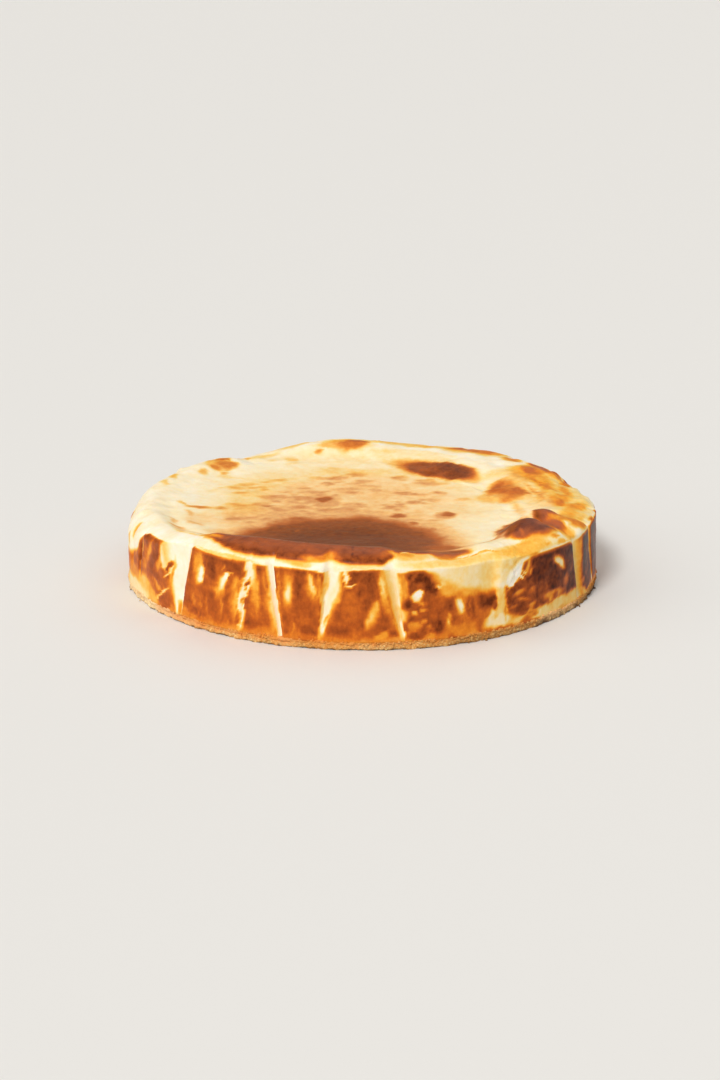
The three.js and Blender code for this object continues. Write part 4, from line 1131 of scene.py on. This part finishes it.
def baked_curd_material(looks):
    """Baked cream-cheese curd under its caramelised skin: dense, slightly translucent, and
    matte where pale, with a soft greasy sheen where it browned."""
    caramel = [(0.0, looks.pale_curd), *shades(CARAMEL), (1.0, looks.burnt_skin)]
    material, tree = new_material("baked curd")
    place = add(tree, "TexCoord")["Object"]
    level, milky, torn, gloss = (
        add(tree, "Attribute", attribute_name=name)["Fac"]
        for name in ("browning", "milky", "torn", "gloss")
    )

    # Mottling 4 mm across, and streaks 1.6 mm wide that run up the wall.
    mottle = add(tree, "TexNoise", Scale=1 / 0.004, Detail=5.0, Roughness=0.62, Vector=place)["Fac"]
    mottle = add(tree, "Math", operation="SUBTRACT", i_0=mottle, i_1=0.5)[0]
    upright = add(tree, "Mapping", Scale=(1.0, 1.0, 0.6), Vector=place)["Vector"]
    streak = add(tree, "TexNoise", Scale=1 / 0.0016, Detail=3.0, Vector=upright)["Fac"]
    streak = add(tree, "Math", operation="SUBTRACT", i_0=streak, i_1=0.5)[0]
    on_wall = add(tree, "Math", operation="SUBTRACT", i_0=1.0, i_1=milky)[0]
    streak = add(tree, "Math", operation="MULTIPLY", i_0=streak, i_1=on_wall)[0]
    sway = add(tree, "Math", operation="MULTIPLY_ADD", i_0=streak, i_1=0.45, i_2=mottle)[0]
    # Pale curd hardly varies; the skin varies most where it is turning brown.
    strength = add(tree, "MapRange", Value=level, From_Max=0.55, To_Min=0.10, To_Max=0.34)["Result"]
    calm = add(tree, "Math", operation="MULTIPLY_ADD", i_0=gloss, i_1=-1.2, i_2=1.0)[0]
    strength = add(tree, "Math", operation="MULTIPLY", i_0=strength, i_1=calm)[0]
    level = add(
        tree, "Math", operation="MULTIPLY_ADD", use_clamp=True, i_0=sway, i_1=strength, i_2=level
    )[0]

    plain, milked = (
        add(tree, "ValToRGB", stops=stops, Fac=level)["Color"] for stops in (caramel, shades(MILKY))
    )
    colour = add(tree, "Mix", data_type="RGBA", Factor=milky, i_6=plain, i_7=milked)[2]
    rough = add(
        tree, "MapRange", Value=level, From_Min=0.1, From_Max=0.9, To_Min=0.52, To_Max=0.34
    )["Result"]
    rough = add(tree, "Math", operation="MULTIPLY_ADD", i_0=torn, i_1=0.3, i_2=rough)[0]

    # Fine goose-flesh 0.9 mm across, deeper where the skin shines, and a coarse crumb where
    # it is torn away.
    grain = add(tree, "TexNoise", Scale=1 / 0.0009, Detail=3.0, Vector=place)["Fac"]
    depth = add(tree, "Math", operation="MULTIPLY_ADD", i_0=torn, i_1=2.5, i_2=0.5)[0]
    depth = add(tree, "Math", operation="MULTIPLY_ADD", i_0=gloss, i_1=2.0, i_2=depth)[0]
    grain = add(tree, "Math", operation="MULTIPLY", i_0=grain, i_1=depth)[0]
    bump = add(tree, "Bump", Strength=0.5, Distance=0.0002, Height=grain)["Normal"]

    shader = add(
        tree, "BsdfPrincipled", Base_Color=colour, Roughness=rough, IOR=1.42, Normal=bump,
        Specular_IOR_Level=0.14, Subsurface_Weight=0.15, Subsurface_Radius=(0.9, 0.5, 0.25),
        Subsurface_Scale=0.0025, Coat_Weight=gloss, Coat_Roughness=0.3, Coat_Normal=bump,
    )
    add(tree, "OutputMaterial", Surface=shader["BSDF"])
    return material


def pressed_crumb_material(looks):
    """Crushed digestive biscuit pressed with butter: dry, matte and tan, in grains of about
    0.9 mm, with painted shade in the cracks between them; paler in places and darker in
    others, partly as painted light and shade."""
    material, tree = new_material("pressed biscuit crumbs")
    place = add(tree, "TexCoord")["Object"]
    soaked, pale, toasted = (
        add(tree, "Attribute", attribute_name=name)["Fac"] for name in ("soaked", "pale", "toasted")
    )
    cells = add(tree, "TexVoronoi", Scale=1 / 0.0009, Vector=place)
    tone = add(tree, "SeparateColor", Color=cells["Color"])["Red"]
    cloud = add(tree, "TexNoise", Scale=1 / 0.006, Detail=4.0, Vector=place)["Fac"]
    tone = add(tree, "Mix", Factor=0.35, i_2=tone, i_3=cloud)[0]
    colour = add(tree, "ValToRGB", Fac=tone, stops=shades([
        (0, "#84501f"), (0.2, "#c98740"), (0.45, "#dfa253"), (0.8, "#efc680"), (1, "#ffe9bd"),
    ]))["Color"]
    # Butter and curd have soaked into the upper part and browned with it, and caught most
    # where the curd reaches down.
    patch = add(tree, "TexNoise", Scale=1 / 0.004, Detail=3.0, Vector=place)["Fac"]
    soaked = add(tree, "Math", operation="ADD", i_0=soaked, i_1=patch)[0]
    caught = add(tree, "MapRange", Value=soaked, From_Min=1.5, From_Max=2.1, To_Max=0.9)["Result"]
    soaked = add(tree, "MapRange", Value=soaked, From_Min=0.85, From_Max=1.6, To_Max=0.8)["Result"]
    # Some places are paler, partly as painted light on the lit left, and others darker with
    # toast and with painted shade on the shaded right and along the lower edge.
    pale = add(tree, "Math", operation="MULTIPLY", i_0=pale, i_1=0.8)[0]
    # Painted shade darkens the cracks between the dry grains.
    crack_shade = add(
        tree, "MapRange", Value=cells["Distance"], From_Min=0.45, From_Max=0.8, To_Max=0.36
    )["Result"]
    dry = add(tree, "Math", operation="MULTIPLY_ADD", i_0=soaked, i_1=-0.9, i_2=1.0)[0]
    crack_shade = add(tree, "Math", operation="MULTIPLY", i_0=crack_shade, i_1=dry)[0]
    for share, tint in (
        (soaked, linear("#ec9f48")), (caught, linear("#e88f38")), (pale, looks.pale_and_lit_biscuit),
        (toasted, looks.toasted_and_shaded_biscuit), (crack_shade, linear("#855020")),
    ):
        colour = add(tree, "Mix", data_type="RGBA", Factor=share, i_6=colour, i_7=tint)[2]
    bump = add(tree, "Bump", Strength=0.8, Distance=0.0004, Height=cloud)["Normal"]
    grain = add(
        tree, "Bump", Strength=0.7, Distance=0.0003, Height=cells["Distance"], Normal=bump
    )["Normal"]
    shader = add(
        tree, "BsdfPrincipled", Base_Color=colour, Roughness=0.88, IOR=1.45, Normal=grain,
        Subsurface_Weight=0.05, Subsurface_Radius=(0.8, 0.5, 0.3), Subsurface_Scale=0.001,
    )
    add(tree, "OutputMaterial", Surface=shader["BSDF"])
    return material


def floor_material(looks):
    """A pale matte studio floor."""
    material, tree = new_material("studio floor")
    shader = add(tree, "BsdfPrincipled", Base_Color=looks.floor, Roughness=0.7)
    add(tree, "OutputMaterial", Surface=shader["BSDF"])
    return material


# ---- what a user can change ----
def colour_setting(name, default, description):
    """A colour that a user can change, from its sRGB hex default."""
    return FloatVectorProperty(
        name=name, description=description, default=linear(default), size=4, min=0.0, max=1.0,
        subtype="COLOR",
    )


class CheesecakeLooks(bpy.types.PropertyGroup):
    """Sizes and colours of the cake that a user would change."""

    curd_side: IntProperty(
        name="Curd cells", default=180, min=16, max=188,
        description="Cells along each side of the top's grid; the wall has four times as many",
    )
    relief: FloatProperty(
        name="Skin relief", default=1.0, min=0.0, max=2.0, subtype="FACTOR",
        description="How strongly the skin's lumps and wrinkles stand out",
    )
    freckles: IntProperty(
        name="Freckles", default=230, min=0, max=600,
        description="Small brown freckles in the middle of the top",
    )
    crumbs: IntProperty(
        name="Loose crumbs", default=900, min=1, max=1500,
        description="Crumbs on the base and round it",
    )
    seed: IntProperty(name="Seed", default=7, min=0, description="Changes every random detail")
    lens: FloatProperty(
        name="Lens", default=85.0, min=20.0, max=300.0, subtype="DISTANCE_CAMERA",
        description="Focal length of the camera",
    )
    pale_curd: colour_setting("Pale curd", "#fef6e8", "The curd where the oven hardly browned it")
    burnt_skin: colour_setting("Burnt skin", "#391404", "The skin where it is nearly burnt")
    # The pale colour is partly painted light, and the toasted one partly painted shade.
    pale_and_lit_biscuit: colour_setting("Bleached biscuit", "#ffe5b4", "The biscuit where it is pale")
    toasted_and_shaded_biscuit: colour_setting("Toasted biscuit", "#5b381d", "The biscuit where it is toasted")
    floor: colour_setting("Floor", "#e9e8e6", "The studio floor")


# ---- operators ----
def dress(piece, node, material):
    """Gives a finished piece its material and body, and hides the CAD node that it stands for."""
    piece.data.materials.append(material)
    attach(piece, "root")
    if node:
        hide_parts(node)


class CHEESECAKE_OT_curd(bpy.types.Operator):
    """Builds the baked curd with its folds, rim, blisters and browning"""

    bl_idname = "cheesecake.curd"
    bl_label = "Baked curd"

    def execute(self, context):
        looks = context.scene.cheesecake
        dress(build_curd(looks), "cheesecake", baked_curd_material(looks))
        return {"FINISHED"}


class CHEESECAKE_OT_biscuit(bpy.types.Operator):
    """Builds the pressed biscuit base and the loose crumbs round it"""

    bl_idname = "cheesecake.biscuit"
    bl_label = "Biscuit base"

    def execute(self, context):
        looks = context.scene.cheesecake
        material = pressed_crumb_material(looks)
        dress(build_base(), "biscuit_base", material)
        dress(build_crumbs(looks), None, material)
        return {"FINISHED"}


def add_sun(name, azimuth, elevation, power, spread, colour):
    """A broad light from far off, by the angles of its direction and its angular width."""
    light = bpy.data.lights.new(name, "SUN")
    light.energy = power
    light.angle = math.radians(spread)
    light.color = linear(colour)[:3]
    lamp = bpy.data.objects.new(name, light)
    lamp.rotation_euler = (0.0, math.radians(90.0 - elevation), math.radians(azimuth))
    bpy.context.scene.collection.objects.link(lamp)


class CHEESECAKE_OT_stage(bpy.types.Operator):
    """Sets the pale floor, the soft lights and the camera"""

    bl_idname = "cheesecake.stage"
    bl_label = "Stage"

    def execute(self, context):
        scene = context.scene
        looks = scene.cheesecake
        corners = FLOOR_HALF * np.array([(-1, -1, 0), (1, -1, 0), (1, 1, 0), (-1, 1, 0)])
        floor = mesh_object("studio_floor", corners, [np.array([[0, 1, 2, 3]])], {})
        floor.data.materials.append(floor_material(looks))

        for name, sun in SUNS.items():
            add_sun(name, *sun)
        world = bpy.data.worlds.new("studio")
        world.use_nodes = True
        background = world.node_tree.nodes["Background"]
        background.inputs["Color"].default_value = linear(SKY_COLOUR)
        background.inputs["Strength"].default_value = SKY_STRENGTH
        scene.world = world

        camera = bpy.data.cameras.new("camera")
        camera.sensor_fit = "VERTICAL"
        camera.sensor_height = SENSOR_HEIGHT
        camera.lens = looks.lens
        view = bpy.data.objects.new("camera", camera)
        view.location = CAMERA_PLACE
        view.rotation_euler = (math.radians(90.0 - CAMERA_DOWN), 0.0, math.radians(CAMERA_TURN))
        scene.collection.objects.link(view)
        scene.camera = view
        scene.view_settings.view_transform = "Standard"
        return {"FINISHED"}


class CHEESECAKE_PT_panel(bpy.types.Panel):
    """Lists the cake's settings and operators"""

    bl_idname = "CHEESECAKE_PT_panel"
    bl_label = "Burnt Cheesecake"
    bl_space_type = "VIEW_3D"
    bl_region_type = "UI"
    bl_category = "Cheesecake"

    def draw(self, context):
        for name in CheesecakeLooks.__annotations__:
            self.layout.prop(context.scene.cheesecake, name)
        for operator in STEPS:
            self.layout.operator(operator.bl_idname)


STEPS = (CHEESECAKE_OT_stage, CHEESECAKE_OT_curd, CHEESECAKE_OT_biscuit)
CLASSES = (CheesecakeLooks, *STEPS, CHEESECAKE_PT_panel)


def register():
    for item in CLASSES:
        bpy.utils.register_class(item)
    bpy.types.Scene.cheesecake = PointerProperty(type=CheesecakeLooks)


def unregister():
    del bpy.types.Scene.cheesecake
    for item in reversed(CLASSES):
        bpy.utils.unregister_class(item)


def main():
    """Builds everything in order."""
    register()
    bpy.ops.cheesecake.stage()
    bpy.ops.cheesecake.curd()
    bpy.ops.cheesecake.biscuit()


if __name__ == "__main__":
    main()
